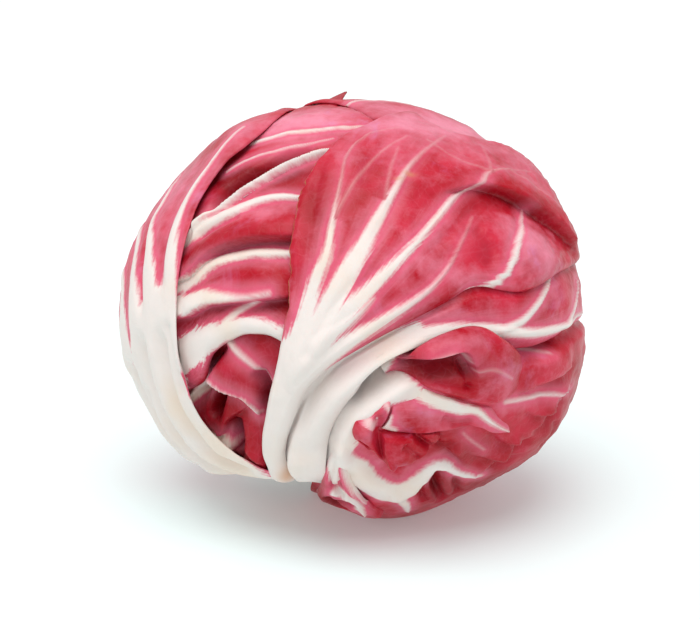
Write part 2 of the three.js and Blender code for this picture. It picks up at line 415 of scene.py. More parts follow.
def drawn_sheet(name, left, right, tip, depth, grid, base=None, hollow=1.0, tip_power=1.0):
    """A sheet between four edges drawn on the face of the head. The tip power says how fast
    the bends of the tip's edge fade out towards the base."""
    columns, rows = grid
    u = np.linspace(0, 1, columns + 1)[None, :, None]
    v = np.linspace(0, 1, rows + 1)[:, None, None]
    left_edge = evenly(left, rows + 1)[:, None]
    right_edge = evenly(right, rows + 1)[:, None]
    base_bend = evenly(base or [left[0], right[0]], columns + 1)[None]
    base_bend = base_bend - (1 - u) * np.array(left[0]) - u * np.array(right[0])
    tip_bend = evenly(tip, columns + 1)[None]
    tip_bend = tip_bend - (1 - u) * np.array(left[-1]) - u * np.array(right[-1])
    near_tip = v**tip_power
    places = (1 - u) * left_edge + u * right_edge + (1 - near_tip) * base_bend + near_tip * tip_bend
    return Sheet(name, places, on_face, depth, hollow)


# %% [markdown]
# ## Node trees
# The leaf shells and the finishes are node trees. Their Math nodes could be placed one by
# one, but a wrapped socket lets the maths be written as plain expressions, which say at a
# glance what they do. One method adds any other node.

# %% The socket class
def join(tree, slot, value):
    """Links a socket to an input, or sets the input to a plain value."""
    if isinstance(value, Value):
        tree.links.new(value.socket, slot)
    else:
        slot.default_value = value


class Value:
    """A socket that can be added, multiplied and so on; each operation adds a Math node."""

    def __init__(self, tree, socket):
        self.tree = tree
        self.socket = socket

    def maths(self, operation, *values):
        node = self.tree.nodes.new("ShaderNodeMath")
        node.operation = operation
        for slot, value in zip(node.inputs, values):
            join(self.tree, slot, value)
        return Value(self.tree, node.outputs[0])

    def __add__(self, other):
        return self.maths("ADD", self, other)

    def __sub__(self, other):
        return self.maths("SUBTRACT", self, other)

    def __mul__(self, other):
        return self.maths("MULTIPLY", self, other)

    def __truediv__(self, other):
        return self.maths("DIVIDE", self, other)

    def __rsub__(self, other):
        return self.maths("SUBTRACT", other, self)

    __radd__ = __add__
    __rmul__ = __mul__

    def sine(self):
        return self.maths("SINE", self)

    def cosine(self):
        return self.maths("COSINE", self)

    def clamp(self):
        return self.maths("MINIMUM", self.maths("MAXIMUM", self, 0.0), 1.0)

    def step(self, low, high):
        """A soft step: 0 below `low`, 1 above `high`."""
        part = ((self - low) / (high - low)).clamp()
        return part * part * (3 - 2 * part)


class Tree:
    """A node tree being made."""

    def __init__(self, tree):
        self.tree = tree

    def node(self, kind, settings=None, output=0, **inputs):
        """Adds a node: its settings come first, and then the values or links of its inputs."""
        node = self.tree.nodes.new(kind)
        for key, value in (settings or {}).items():
            setattr(node, key, value)
        for key, value in inputs.items():
            join(self.tree, node.inputs[key.replace("_", " ")], value)
        return Value(self.tree, node.outputs[output])


# %% [markdown]
# ## The shell tree
# A sheet has no thickness, and a real leaf does: thick at its ribs, thin at its margin. The
# same rule holds for every leaf, so one Geometry Nodes tree does it. It pushes a copy of the
# sheet inwards by the thickness stored at each point, and joins the two faces at the margin.
# A Solidify modifier could do this too, but the tree keeps the rule in one named input.

# %% Geometry trees
class ShapeTree(Tree):
    """A Geometry Nodes tree that takes a mesh, some named numbers and a material."""

    def __init__(self, name, numbers, material):
        super().__init__(bpy.data.node_groups.new(name, "GeometryNodeTree"))
        face = self.tree.interface
        face.new_socket("Geometry", in_out="INPUT", socket_type="NodeSocketGeometry")
        for label, kind, value in numbers:
            face.new_socket(label, in_out="INPUT", socket_type="NodeSocket" + kind).default_value = value
        face.new_socket(material, in_out="INPUT", socket_type="NodeSocketMaterial")
        face.new_socket("Geometry", in_out="OUTPUT", socket_type="NodeSocketGeometry")
        start = self.tree.nodes.new("NodeGroupInput")
        self.inputs = [Value(self.tree, socket) for socket in start.outputs[: len(numbers) + 2]]

    def both(self, first, second):
        """Two shapes joined into one."""
        node = self.tree.nodes.new("GeometryNodeJoinGeometry")
        for shape in (first, second):
            join(self.tree, node.inputs[0], shape)
        return Value(self.tree, node.outputs[0])

    def finish(self, shape):
        """Shades the shape smooth, makes its instances real and gives it the material."""
        smooth = self.node("GeometryNodeSetShadeSmooth", Geometry=shape)
        real = self.node("GeometryNodeRealizeInstances", Geometry=smooth)
        painted = self.node("GeometryNodeSetMaterial", Geometry=real, Material=self.inputs[-1])
        join(self.tree, self.tree.nodes.new("NodeGroupOutput").inputs[0], painted)
        return self.tree


# %% The shell tree
def make_shell_tree():
    shell = ShapeTree("leaf shell", [("Thickness Share", "Float", 1.0)], "Leaf Material")
    sheet, share, _ = shell.inputs
    thickness = shell.node("GeometryNodeInputNamedAttribute", {"data_type": "FLOAT"}, Name="thickness")
    pushed = shell.node(
        "GeometryNodeExtrudeMesh",
        {"mode": "FACES"},
        Mesh=sheet,
        Individual=False,
        Offset_Scale=thickness * (share * -1.0),
    )
    closed = shell.both(shell.node("GeometryNodeFlipFaces", Mesh=pushed), sheet)
    return shell.finish(shell.node("GeometryNodeMergeByDistance", Geometry=closed, Distance=1e-6))


SHELL_TREE = make_shell_tree()
print("the shell tree has", len(SHELL_TREE.nodes), "nodes")


# %% Running a tree
def add_object(name, data):
    """Puts a mesh, a lamp or a camera into the scene."""
    new = bpy.data.objects.new(name, data)
    bpy.context.scene.collection.objects.link(new)
    return new


def socket_name(tree, name):
    """The identifier of a tree's input, which is what a modifier goes by."""
    return next(i.identifier for i in tree.interface.items_tree if i.name == name and i.in_out == "INPUT")


def apply_tree(sheet_object, tree, **inputs):
    """Runs a tree on an object and keeps what it makes as a plain mesh."""
    modifier = sheet_object.modifiers.new("tree", "NODES")
    modifier.node_group = tree
    for name, value in inputs.items():
        modifier[socket_name(tree, name.replace("_", " "))] = value
    bpy.context.view_layer.update()
    evaluated = sheet_object.evaluated_get(bpy.context.evaluated_depsgraph_get())
    plain = bpy.data.meshes.new_from_object(evaluated)
    sheet_object.modifiers.remove(modifier)
    sheet_object.data = plain
    return sheet_object

# %% [markdown]
# ## From a sheet to a leaf
# Each leaf lies under the leaves that were made before it. A cloth simulation could settle
# them, but it would move the margins. Instead, rays from the middle of the head find where a
# leaf would come through the ones over it, and it is pressed down there.

# %% From a sheet to a leaf
GAP = 0.3 * MM  # how far a leaf stays under the one that lies over it
MARGIN = 4  # the last mm of a leaf, where it gets thinner
MARGIN_SHARE = 0.35  # the share of its thickness that is left at the edge
EDGE = 0.3  # how thick the edge may be at most, in mm
EDGE_SLOPE = 0.2  # how much thicker it may get for each mm inwards
made = {}  # the finished leaves, by name, ready for rays


def grid_mesh(name, points, attributes):
    """A mesh from a grid of points, with faces outwards, a UV map and float attributes."""
    rows, columns = points.shape[:2]
    number = np.arange(rows * columns).reshape(rows, columns)
    corners = [number[:-1, :-1], number[:-1, 1:], number[1:, 1:], number[1:, :-1]]
    quads = np.stack([c.ravel() for c in corners], -1)
    first, second, third = (points.reshape(-1, 3)[quads[:, k]] for k in (0, 1, 2))
    outwards = ((np.cross(second - first, third - first)) * (first - MIDDLE)).sum(-1)
    if outwards.sum() < 0:
        quads = quads[:, ::-1]
    mesh = bpy.data.meshes.new(name)
    mesh.from_pydata(points.reshape(-1, 3).tolist(), [], quads.tolist())
    for key, values in attributes.items():
        layer = mesh.attributes.new(key, "FLOAT", "POINT")
        layer.data.foreach_set("value", values.astype(np.float32).ravel())
    u = np.broadcast_to(np.linspace(0, 1, columns)[None], (rows, columns))
    v = np.broadcast_to(np.linspace(0, 1, rows)[:, None], (rows, columns))
    leaf_uv = mesh.uv_layers.new(name="leaf")
    loop_vertex = np.zeros(len(mesh.loops), np.int32)
    mesh.loops.foreach_get("vertex_index", loop_vertex)
    pairs = np.stack([u.ravel()[loop_vertex], v.ravel()[loop_vertex]], -1)
    leaf_uv.data.foreach_set("uv", pairs.astype(np.float32).ravel())
    return mesh


def neighbours(values):
    """A grid moved by one cell to each of the four sides."""
    padded = np.pad(values, 1, mode="edge")
    return padded[1:-1, :-2], padded[1:-1, 2:], padded[:-2, 1:-1], padded[2:, 1:-1]


def blur(values, times):
    """Averages a grid with its neighbours."""
    for _ in range(times):
        values = sum(neighbours(values)) / 4
    return values


def tuck_under(sheet, outer, spread):
    """Presses a sheet down where it would come through the leaves over it. The dent fades
    out over some cells of the grid, as many as the spread says."""
    points = sheet.points()
    offset = points - MIDDLE
    radius = np.linalg.norm(offset, axis=-1)
    directions = offset / radius[..., None]
    drop = np.zeros(radius.shape)
    for tree in outer:
        for index in np.ndindex(radius.shape):
            hit = tree.ray_cast(Vector(MIDDLE), Vector(directions[index]))[3]
            if hit is not None:
                drop[index] = max(drop[index], radius[index] + GAP - hit)
    wide = drop.copy()
    for _ in range(spread):
        wide = np.maximum.reduce([wide, *neighbours(wide)])
    sheet.height -= np.maximum(drop, blur(wide, spread))
    return float(drop.max() / MM)


def make_leaf(sheet, over=(), replaces=None, spread=3):
    """Turns a sheet into a closed leaf under the leaves that lie over it."""
    pressed = tuck_under(sheet, [made[n] for n in over], spread) if over else 0.0
    edge = np.minimum.reduce(list(sheet.from_edges().values()))
    thin = ease(edge / MARGIN) * (1 - MARGIN_SHARE) + MARGIN_SHARE
    attributes = {
        "rib": sheet.rib,
        "feather": sheet.feather,
        "pale": sheet.pale,
        "thickness": np.minimum(sheet.thickness * thin, (EDGE + EDGE_SLOPE * edge) * MM),
        "edge": edge,
        "tone": sheet.tone,
        "tan": sheet.tan,
        "dry": sheet.dry,
    }
    points = sheet.points()
    points[..., 2] = np.maximum(points[..., 2], GROUND)
    mesh = grid_mesh(sheet.name, points, attributes)
    leaf = add_object(sheet.name, mesh)
    apply_tree(leaf, SHELL_TREE, Thickness_Share=1.0, Leaf_Material=LEAF)
    vertices = [v.co[:] for v in leaf.data.vertices]
    made[sheet.name] = BVHTree.FromPolygons(vertices, [p.vertices[:] for p in leaf.data.polygons])
    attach(leaf, "root")
    if replaces:
        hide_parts(replaces)
    print(sheet.name, len(leaf.data.polygons) * 2, "triangles, pressed down by", round(pressed, 1), "mm")
    return leaf


# %% [markdown]
# ## The finishes
# Every finish is made of nodes on one shader. A painted picture could do it too, but it would
# blur close up, and noise in three dimensions has no seams. Colours are named as the eye
# reads them.

# %% The paint class
class Paint(Tree):
    """A material being made."""

    def __init__(self, name):
        self.material = bpy.data.materials.new(name)
        self.material.use_nodes = True
        super().__init__(self.material.node_tree)
        self.shader = self.tree.nodes["Principled BSDF"]

    def stored(self, name):
        """A number that the mesh stores at each point."""
        return self.node("ShaderNodeAttribute", {"attribute_name": name}, output="Fac")

    def noise(self, vector, scale, detail=3.0, roughness=0.5, distortion=0.0):
        settings = {"Scale": scale, "Detail": detail, "Roughness": roughness, "Distortion": distortion}
        return self.node("ShaderNodeTexNoise", Vector=vector, **settings)

    def mix(self, share, first, second):
        """A colour between two colours."""
        node = self.tree.nodes.new("ShaderNodeMix")
        node.data_type = "RGBA"
        for number, value in ((0, share), (6, first), (7, second)):  # the sockets of a colour mix
            join(self.tree, node.inputs[number], value)
        return Value(self.tree, node.outputs[2])

    def stretch(self, vector, scale):
        return self.node("ShaderNodeMapping", {"vector_type": "POINT"}, Vector=vector, Scale=scale)

    def vector_maths(self, operation, vector, slot, other):
        node = self.tree.nodes.new("ShaderNodeVectorMath")
        node.operation = operation
        join(self.tree, node.inputs[0], vector)
        join(self.tree, node.inputs[slot], other)
        return Value(self.tree, node.outputs["Vector"])

    def add(self, vector, other):
        return self.vector_maths("ADD", vector, 1, other)

    def scale(self, vector, factor):
        return self.vector_maths("SCALE", vector, "Scale", factor)

    def finish(self, **inputs):
        """Joins the colour and the other values to the shader."""
        for key, value in inputs.items():
            join(self.tree, self.shader.inputs[key.replace("_", " ")], value)
        return self.material


def srgb(red, green, blue):
    """A colour as the eye reads it (0 to 255), turned into the light values that shaders use."""
    parts = [c / 255 for c in (red, green, blue)]
    return tuple(p / 12.92 if p <= 0.04045 else ((p + 0.055) / 1.055) ** 2.4 for p in parts) + (1.0,)


# %% [markdown]
# ## The leaf finish
# One finish serves every leaf. The ribs are ivory and the blade is wine red; where they meet,
# the red runs into the white in fine streaks along the leaf, with a thin bright pink line at
# the meeting. Each sheet has stored how deep inside a rib each point is, so the finish only
# has to feather that edge with noise that is stretched along the leaf. Each sheet has also
# stored a tone that paints light and shade: pinker where light falls, dark red in creases,
# hollows and under folds. Lilac bloom, which is also a painted sheen and is strongest where
# the tone is high, faint net veins and the dry tan line on the oldest margins come on top.

# %% The leaf colours
# DARK_RED is painted shade for creases, hollows and folds; PINK also paints light where it falls, and LILAC
# also paints a sheen
DARK_RED = srgb(120, 6, 14)
DEEP_RED = srgb(176, 8, 30)
ROSE = srgb(202, 40, 64)
PINK = srgb(238, 144, 168)
RIM_PINK = srgb(224, 76, 114)
LILAC = srgb(214, 140, 190)
IVORY = srgb(232, 221, 216)
CREAM = srgb(232, 214, 200)
TAN = srgb(206, 146, 98)
STREAKS = (46.0, 5.0, 1.0)  # how many streaks lie across a leaf and along it
print("ivory is", [round(part, 2) for part in IVORY[:3]], "in light values")

# %% The leaf finish
def leaf_finish():
    paint = Paint("radicchio leaf")
    place = paint.node("ShaderNodeTexCoord", output="Object")
    uv = paint.node("ShaderNodeUVMap", {"uv_map": "leaf"})
    rib, feather, pale = paint.stored("rib"), paint.stored("feather"), paint.stored("pale")
    edge, tone, tan, dry = (paint.stored(key) for key in ("edge", "tone", "tan", "dry"))

    streak = paint.noise(paint.stretch(uv, STREAKS), 1.0, detail=4.0, roughness=0.6)
    speckle = paint.noise(place, 1100.0, detail=2.0)
    ragged = rib + ((streak - 0.5) * 4.2 + (speckle - 0.5) * 1.3) * feather
    white = ragged.step(-0.8, 0.8) * pale
    halo = ragged.step(-2.2, 0.1) * pale
    haze = ragged.step(-4.5, -0.5) * pale

    cloud = paint.noise(place, 60.0, detail=3.0, roughness=0.65)
    patch = paint.noise(place, 170.0, detail=4.0, roughness=0.6)
    blade = paint.mix(cloud.step(0.36, 0.66), DEEP_RED, ROSE)
    # pink in random patches, and painted light where the stored tone and shading is high
    blade = paint.mix(((patch - 0.5) * 1.3 + tone).clamp() * 0.9, blade, PINK)
    blade = paint.mix(streak.step(0.52, 0.8) * 0.1, blade, PINK)
    bloom_and_sheen = paint.noise(place, 42.0, detail=5.0, roughness=0.7, distortion=0.6).step(0.56, 0.72)
    # lilac bloom, which is also a painted sheen, faded out where the leaf is painted dark
    blade = paint.mix(bloom_and_sheen * (tone + 0.5).clamp() * 0.5, blade, LILAC)
    # painted shade: dark red where the stored tone and shading is below zero
    blade = paint.mix((0 - tone).clamp() * 0.85, blade, DARK_RED)
    blade = paint.mix(haze * 0.38, blade, PINK)
    blade = paint.mix(halo * 0.7, blade, RIM_PINK)

    shaken = paint.node("ShaderNodeTexNoise", output="Color", Vector=place, Scale=140.0, Detail=2.0)
    cells = paint.node(
        "ShaderNodeTexVoronoi",
        {"feature": "DISTANCE_TO_EDGE"},
        Vector=paint.add(place, paint.scale(shaken, 0.004)),
        Scale=330.0,
    )
    net = (1 - cells.step(0.0, 0.09)) * (1 - white)
    blade = paint.mix(net * 0.035, blade, PINK)

    flesh = paint.mix(paint.noise(place, 45.0).step(0.45, 0.75), IVORY, CREAM)
    colour = paint.mix(white, blade, flesh)
    colour = paint.mix((1 - edge.step(0.1, 0.6)) * dry, colour, TAN)
    colour = paint.mix(tan.clamp(), colour, TAN)

    fine = paint.noise(place, 1400.0, detail=3.0)
    pucker = paint.noise(place, 480.0, detail=3.0, roughness=0.6)
    height = fine * 0.2 - net * 0.08 + patch * 1.4 + pucker * 0.9 * (1 - white * 0.6) + streak * white * 0.6
    bump = paint.node("ShaderNodeBump", Height=height, Strength=0.32, Distance=0.0006)
    return paint.finish(
        Base_Color=colour,
        Roughness=0.38 + white * 0.1 + (patch - 0.5) * 0.16,
        Normal=bump,
        Specular_IOR_Level=0.2,
        Subsurface_Weight=0.08,
        Subsurface_Radius=(0.0012, 0.0006, 0.0005),
    )


LEAF = leaf_finish()
print("the leaf finish has", len(LEAF.node_tree.nodes), "nodes")

# %% [markdown]
# ## Leaves that follow a rule
# The leaves at the back and over the top grow by a rule: each one leaves the stem at a
# heading, or follows a winding midrib, and is narrow at its base and broad further on. Their
# places are degrees across and degrees along. The veins follow a rule too: pairs of side
# veins leave the midrib and curve towards the tip.

# %% Sheets that grow by a rule
LEAF_START = 13  # degrees from the stem's axis to where a leaf begins


def leaf_grid(half_width, start, end, grid):
    """Places across and along a leaf that is narrow at the base and broad further on."""
    u = np.linspace(-1, 1, grid[0] + 1)[None]
    v = np.linspace(0, 1, grid[1] + 1)[:, None]
    broad = 0.22 + 0.78 * np.sin(np.pi * np.minimum(0.12 + 0.76 * v, 1))
    return np.stack([u * half_width * broad, start + (end - start) * v + 0 * u], -1)


def grown_sheet(name, heading, reach, half_width, depth, grid):
    """A leaf that runs straight round the head; heading 0 leaves the stem towards the face."""
    ahead = FACE - (FACE @ STEM) * STEM
    ahead /= np.linalg.norm(ahead)
    turn = math.radians(heading)
    ahead = ahead * math.cos(turn) + np.cross(STEM, ahead) * math.sin(turn)
    side = np.cross(ahead, STEM)

    def to_direction(places):
        across, along = np.radians(places[..., :1]), np.radians(places[..., 1:])
        return np.cos(across) * (STEM * np.cos(along) + ahead * np.sin(along)) + side * np.sin(across)

    return Sheet(name, leaf_grid(half_width, LEAF_START, reach, grid), to_direction, depth)


def wound_sheet(name, route, half_width, depth, grid):
    """A leaf whose midrib follows a route of compass directions over the head."""
    centre = evenly([compass(*place) for place in route], 121)
    centre /= np.linalg.norm(centre, axis=1, keepdims=True)
    side = np.cross(np.gradient(centre, axis=0), centre)
    side /= np.linalg.norm(side, axis=1, keepdims=True)
    steps = np.degrees(np.linalg.norm(np.diff(centre, axis=0), axis=1))
    along = np.concatenate([[0], np.cumsum(steps)])

    def read(values, places):
        return np.stack([np.interp(places[..., 1], along, values[:, k]) for k in range(3)], -1)

    def to_direction(places):
        across = np.radians(places[..., :1])
        direction = read(centre, places) * np.cos(across) + read(side, places) * np.sin(across)
        return direction / np.linalg.norm(direction, axis=-1, keepdims=True)

    return Sheet(name, leaf_grid(half_width, 0, along[-1], grid), to_direction, depth)


def draw_veins(sheet, half_width, pairs, seed):
    """A midrib that thins towards the tip, and pairs of side veins that curve forwards."""
    start, end = sheet.places[0, 0, 1], sheet.places[-1, 0, 1]
    length = end - start
    midrib = [(0, start), (1.5, start + 0.5 * length), (0, end)]
    sheet.draw_rib(midrib, (6, 4, 2, 1, 0.3), (2.0, 1.2, 0.6, 0.3), feather=(1.0, 0.7, 0.3))
    sheet.draw_paint([(0, start), (0, start + 0.3 * length)], (16, 10, 3), 1.4)
    for pair in range(pairs):
        for hand in (-1, 1):
            sway = 3 * math.sin(2.4 * pair + hand + seed)
            foot = start + length * (0.02 + 0.8 * (pair + 0.25 * hand) / pairs)
            vein = [
                (0, foot),
                (hand * 0.3 * half_width, foot + 11 + sway),
                (hand * 0.62 * half_width, foot + 25),
                (hand * 0.95 * half_width, foot + 42 + sway),
            ]
            thick = 1 - 0.7 * pair / pairs
            widths = [thick * w for w in (2.6, 1.9, 1.5, 1.3)]
            sheet.draw_rib(vein, widths, (0.7, 0.5, 0.3, 0.15), (0.8, 0.6, 0.5, 0.5), (1.0, 1.0, 0.7, 0.25))
            for fork in (0.35, 0.65):
                x, y = hand * fork * half_width, foot + 11 + sway + 40 * (fork - 0.3)
                twig = [(x, y), (x + hand * 3, y + 9), (x + hand * 4, y + 20)]
                sheet.draw_rib(twig, (0.9, 0.8, 0.8), (0.2, 0.1), feather=0.4, pale=(0.4, 0.3, 0.1))


# %% [markdown]
# ## The front wrapper
# The largest leaf covers the front, the right and the top. Its rounded rib starts at the stem,
# low on the left, and opens into a fan of white veins. High on the right the blade buckles
# and hangs over itself. A Coons patch between four drawn edges keeps every edge where it
# should be, which sculpting a sphere would not.

# %% The front wrapper
front = drawn_sheet(
    "front_leaf",
    left=[(-28, -66), (-25, -50), (-25, -40), (-22, -27), (-18, -13), (-15, 4), (-15, 18), (-11, 37),
          (-2, 51)],
    right=[(-19, -66), (-17, -52), (-18, -40), (-15, -29), (-9, -18), (6, -8), (23, 1), (31, 5), (45, 4),
           (60, 10), (77, 15), (93, 22)],
    tip=[(-2, 51), (13, 63), (21, 68), (27, 61), (36, 57), (47, 58), (62, 58), (78, 52), (90, 40),
         (93, 22)],
    depth=0.0, grid=(200, 215), tip_power=2.0,
)
FAN = [
    ([(-13, -16), (-9, 4), (-6, 12), (-5, 20), (-3, 32), (-1, 42), (5, 50), (14, 54)],
     (3.0, 2.4, 1.6, 0.9, 0.4, 0.2, 0.15, 0.1), (1, 1, 1, 1, 0.5, 0.35, 0.3, 0.2)),
    ([(-12, -14), (-6, -1), (3, 15), (11, 30), (17, 40), (29, 53)], (3.2, 2.8, 1.9, 0.9, 0.3, 0.15),
     (1, 1, 1, 0.9, 0.4, 0.25)),
    ([(-10, -12), (-2, -2), (14, 14), (27, 29), (33, 34), (39, 38), (47, 41), (58, 44)],
     (3.2, 2.2, 1.3, 0.8, 0.7, 0.35, 0.2, 0.12), (1, 1, 1, 1, 0.9, 0.6, 0.35, 0.25)),
    ([(-12, -17), (-2, -9), (14, 1), (22, 8), (27, 16), (32, 24)], (3.0, 2.0, 1.2, 0.5, 0.2, 0.12),
     (1, 1, 1, 0.8, 0.35, 0.25)),
    ([(-8, -9), (0, -3), (5, 2)], (1.8, 1.0, 0.2), 1),
    ([(29, 4), (34, 5), (38, 8), (41, 12), (45, 20), (51, 29)], (0.5, 1.0, 0.9, 0.55, 0.35, 0.2),
     (1, 1, 1, 0.9, 0.8, 0.6)),
]
for points, width, pale in FAN:
    front.draw_rib(points, width, (0.7, 0.6, 0.5, 0.35, 0.2), feather=(0.9, 0.7, 0.45, 0.3, 0.2), pale=pale)
TWIGS = [
    [(-5, 20), (0, 31), (8, 43), (16, 50)],
    [(8, 25), (10, 36), (13, 45)],
    [(39, 38), (41, 45), (41, 52)],
    [(39, 38), (30, 42), (22, 49)],
    [(47, 41), (56, 36), (66, 33)],
]
for points in TWIGS:
    front.draw_rib(points, (0.4, 0.25, 0.15), (0.2, 0.1), feather=(0.15,), pale=0.25)
front.draw(
    paint=[([(-24, -60), (-22, -40), (-17, -22), (-14, -12)], (8, 8, 7, 5))],
    rib=[
        ([(-24, -62), (-21, -46), (-20, -34), (-17, -24), (-13, -15), (-9, -6)], (4, 4.5, 5.5, 7, 7, 5),
         (0.5, 1.0, 1.5, 1.0, 0.5, 0.2), 1.0),
    ],
    fold=[
        ([(21, 29), (33, 34), (44, 33), (59, 27), (79, 19)], (1.0, 3.5, 5.0, 4.5, 1.0), 0.9, 1.8, 14),
        ([(33, 22), (36, 14), (34, 8)], (1.2, 1.6), 1.6, 0.0, 7),
    ],
    groove=[
        ([(-14, -20), (-4, -9), (6, -2)], 0.7, 1.4), ([(-12, -13), (-6, -3), (1, 7)], 0.5, 1.2),
        ([(4, 14), (12, 28), (20, 42)], 0.5, 1.5), ([(18, 12), (28, 22), (36, 28)], 0.5, 1.5),
        ([(38, 12), (44, 20), (48, 28)], 0.5, 1.5), ([(2, 30), (6, 42), (16, 52)], 0.5, 1.5),
        ([(-10, 20), (-9, 32), (-6, 44)], 0.5, 1.5),
    ],
    swell=[((50, 14), (9, 8), 2.0), ((32, 24), (9, 5), -1.0)],
    # tone with painted light and shade: pinker where the top light falls on the top and on the puff,
    # painted shade under the buckle and beside the crease, and other patches of tone
    tone=[
        ((13, 57), (32, 9), 0.8), ((58, 46), (16, 18), 0.35), ((42, 20), (9, 6), 0.35),
        ((16, 12), (9, 7), 0.3), ((28, 7), (5, 3), 0.35), ((-11, -1), (3, 4), 0.3),
        ((-9, 22), (4, 16), -0.4), ((50, 14), (8, 7), 0.7), ((4, 32), (12, 10), -0.15),
        ((34, 15), (6, 7), -0.25), ((46, 30), (18, 3.5), -0.75), ((10, 40), (18, 6), 0.2),
    ],
    stain=[((-18, -47), (2.5, 3.5), 0.7), ((15, 35), (1.6, 0.8), 0.6), ((12, 33), (1.2, 0.6), 0.5)],
    crumple=[
        (0.5, 11, 3), (0.25, 4.0, 5), (0.34, 2.1, 9, (1.0, 1.0), ease((front.places[..., 0] - 16) / 22)),
    ],
    margin=[
        ("right", (1.6, 1.8, 2.5, 4.5, 4, 2.5, 2, 1.5, 1.5, 1.5, 1), (4, 4, 5, 6, 6, 5, 4, 3, 3, 3)),
        ("left", (4, 4.5, 3.5, 2, 1.5, 1.2, 0.8, 0.8, 0.8), (6, 6, 6, 6, 5, 3, 2, 2, 2)),
        ("tip", 0.6, 2.5),
    ],
)
front.serrate(0.6, 2.0, seed=7, above=-6)
front.dry[:, :60] = 0.8 * ease((front.places[:, :60, 1] + 10) / 14)
front.thickness = np.minimum(front.thickness, (0.7 + 1.3 * ease((front.places[..., 1] + 38) / 22)) * MM)
make_leaf(front, replaces="front_wrapper")

# %% [markdown]
# ## The lobe
# The lower wrapper folds back over itself in places. A sheet can only be high or low at each
# place, so each of these folds is a sheet of its own that starts on the leaf and stands a
# little off it. The largest is a broad lobe with a pocket under its rim, painted dark as shade.

# %% The lobe
lobe = drawn_sheet(
    "lower_leaf_lobe",
    left=[(7, -15), (11, -12), (16, -8), (25, -5), (32, -5), (38, -8), (43, -11)],
    right=[(9, -18), (14, -17), (19, -20), (27, -23), (33, -25), (40, -25)],
    tip=[(43, -11), (45, -14), (46, -18), (45, -23), (40, -25)],
    depth=-1.5, grid=(90, 150),
)
lobe.draw(
    paint=[([(0, -22), (5, -17), (9, -13)], (5, 4, 2), 0.7)],
    rib=[
        ([(17, -10), (22, -9), (26, -10), (28, -12)], (0.2, 0.35, 0.3, 0.1), 0.2, 0.1, 0.6),
        ([(29, -14), (34, -15), (40, -18)], (0.2, 0.25, 0.15), 0.3, 0.1, 0.3),
    ],
    fold=[
        ([(9, -14), (14, -11), (19, -10), (25, -9), (28, -12), (30, -18)], (4.0, 8.0, 9.5, 9.0, 5.0, 1.5),
         0.8, 1.6, 7),
    ],
    groove=[([(25, -12), (27, -16), (28, -20)], 1.2, 1.0), ([(18, -17), (24, -18), (30, -20)], 0.8, 1.0)],
    swell=[((35, -14), (9, 7), 1.6)],
    # painted shade: the pocket under the rim is painted dark red; the two pinker patches are tone
    tone=[((22, -7), (12, 2.5), 0.2), ((19, -14), (9, 3), -1.9), ((37, -17), (9, 6), 0.2)],
    crumple=[(0.25, 6, 31)],
    margin=[("left", 2.6, 3.5), ("right", 2.2, 3.0), ("tip", 2.0, 7)],
)
lobe.height -= 7.0 * MM * (1 - ease((lobe.places[..., 0] - 10) / 7))
lobe.height -= 1.5 * MM * ease((lobe.places[..., 0] - 34) / 10)
make_leaf(lobe)

# %% [markdown]
# ## The right wrapper
# It lies under the front wrapper's lower margin. Its rib runs beside the front rib, with a
# deep soft valley between them, and then on to the right with two branches. It could be one
# shell with the front leaf, but only a sheet of its own gives a true overlap.

# %% The right wrapper
right_wrapper = drawn_sheet(
    "right_leaf",
    left=[(-22, -66), (-19, -50), (-20, -38), (-17, -29), (-12, -19), (-5, -9), (14, 3), (30, 10),
          (46, 11), (62, 17), (80, 22), (94, 28)],
    right=[(-13, -66), (-8, -50), (-6, -34), (-1, -24), (7, -16), (16, -12), (28, -11), (42, -12),
           (56, -10), (66, -7), (78, -5), (94, -3)],
    tip=[(94, 28), (99, 12), (94, -3)],
    depth=1.6, grid=(100, 170),
)
foot = ease((-36 - right_wrapper.places[..., 1]) / 6) * ease((right_wrapper.places[..., 0] + 20) / 5)
right_wrapper.height += 1.8 * MM * foot
right_wrapper.draw(
    paint=[
        ([(-20, -50), (-16, -32), (-8, -20), (4, -12), (16, -6)], (8, 7, 6, 4, 2)),
        ([(-11, -60), (-9, -46), (-6, -34), (-2, -26), (4, -20)], (4, 4, 4, 3, 2)),
    ],
    rib=[
        ([(-20, -60), (-15, -44), (-12, -34), (-7, -26), (1, -18), (9, -12), (20, -7), (34, -6), (48, -7),
         (61, -6), (71, -3), (80, -2)], (7.0, 7.0, 6.0, 4.5, 4.0, 3.4, 2.4, 1.9, 1.3, 1.2, 0.7, 0.3),
         (0.8, 1.2, 1.8, 2.0, 1.4, 1.0, 0.8, 0.6, 0.4), (0.9, 0.7, 0.4, 0.2), 1.0, 1.2),
        ([(38, -6), (44, -4), (48, -1), (52, 3), (57, 10)], (0.9, 1.0, 0.9, 0.6, 0.3), 0.6, 0.2),
        ([(63, -6), (67, -2), (72, 4), (75, 9)], (0.9, 0.8, 0.5, 0.3), 0.6, 0.2),
    ],
    groove=[
        ([(-16, -35), (-13, -28), (-8, -20), (0, -14), (10, -8), (22, -3)], (0.2, 3.0, 3.2, 2.4, 1.2),
         2.6),
    ],
    swell=[
        ((-16, -40), (4, 5), 1.5), ((-12, -56), (9, 8), -3.5), ((40, 1), (12, 4), 1.0),
        ((62, 4), (8, 6), 1.2),
    ],
    tone=[((22, -2), (10, 3), 0.45), ((66, 3), (8, 10), 0.25)],
    crumple=[(0.45, 8, 71), (0.2, 3, 73)],
    margin=[("right", (0, 0, 2, 3.5, 2.5, 1.5, 1.5, 1.5, 1.5), (3, 4, 5, 5, 4, 3, 3, 3))],
)
make_leaf(right_wrapper, over=("front_leaf", "lower_leaf_lobe"), replaces="right_wrapper", spread=7)

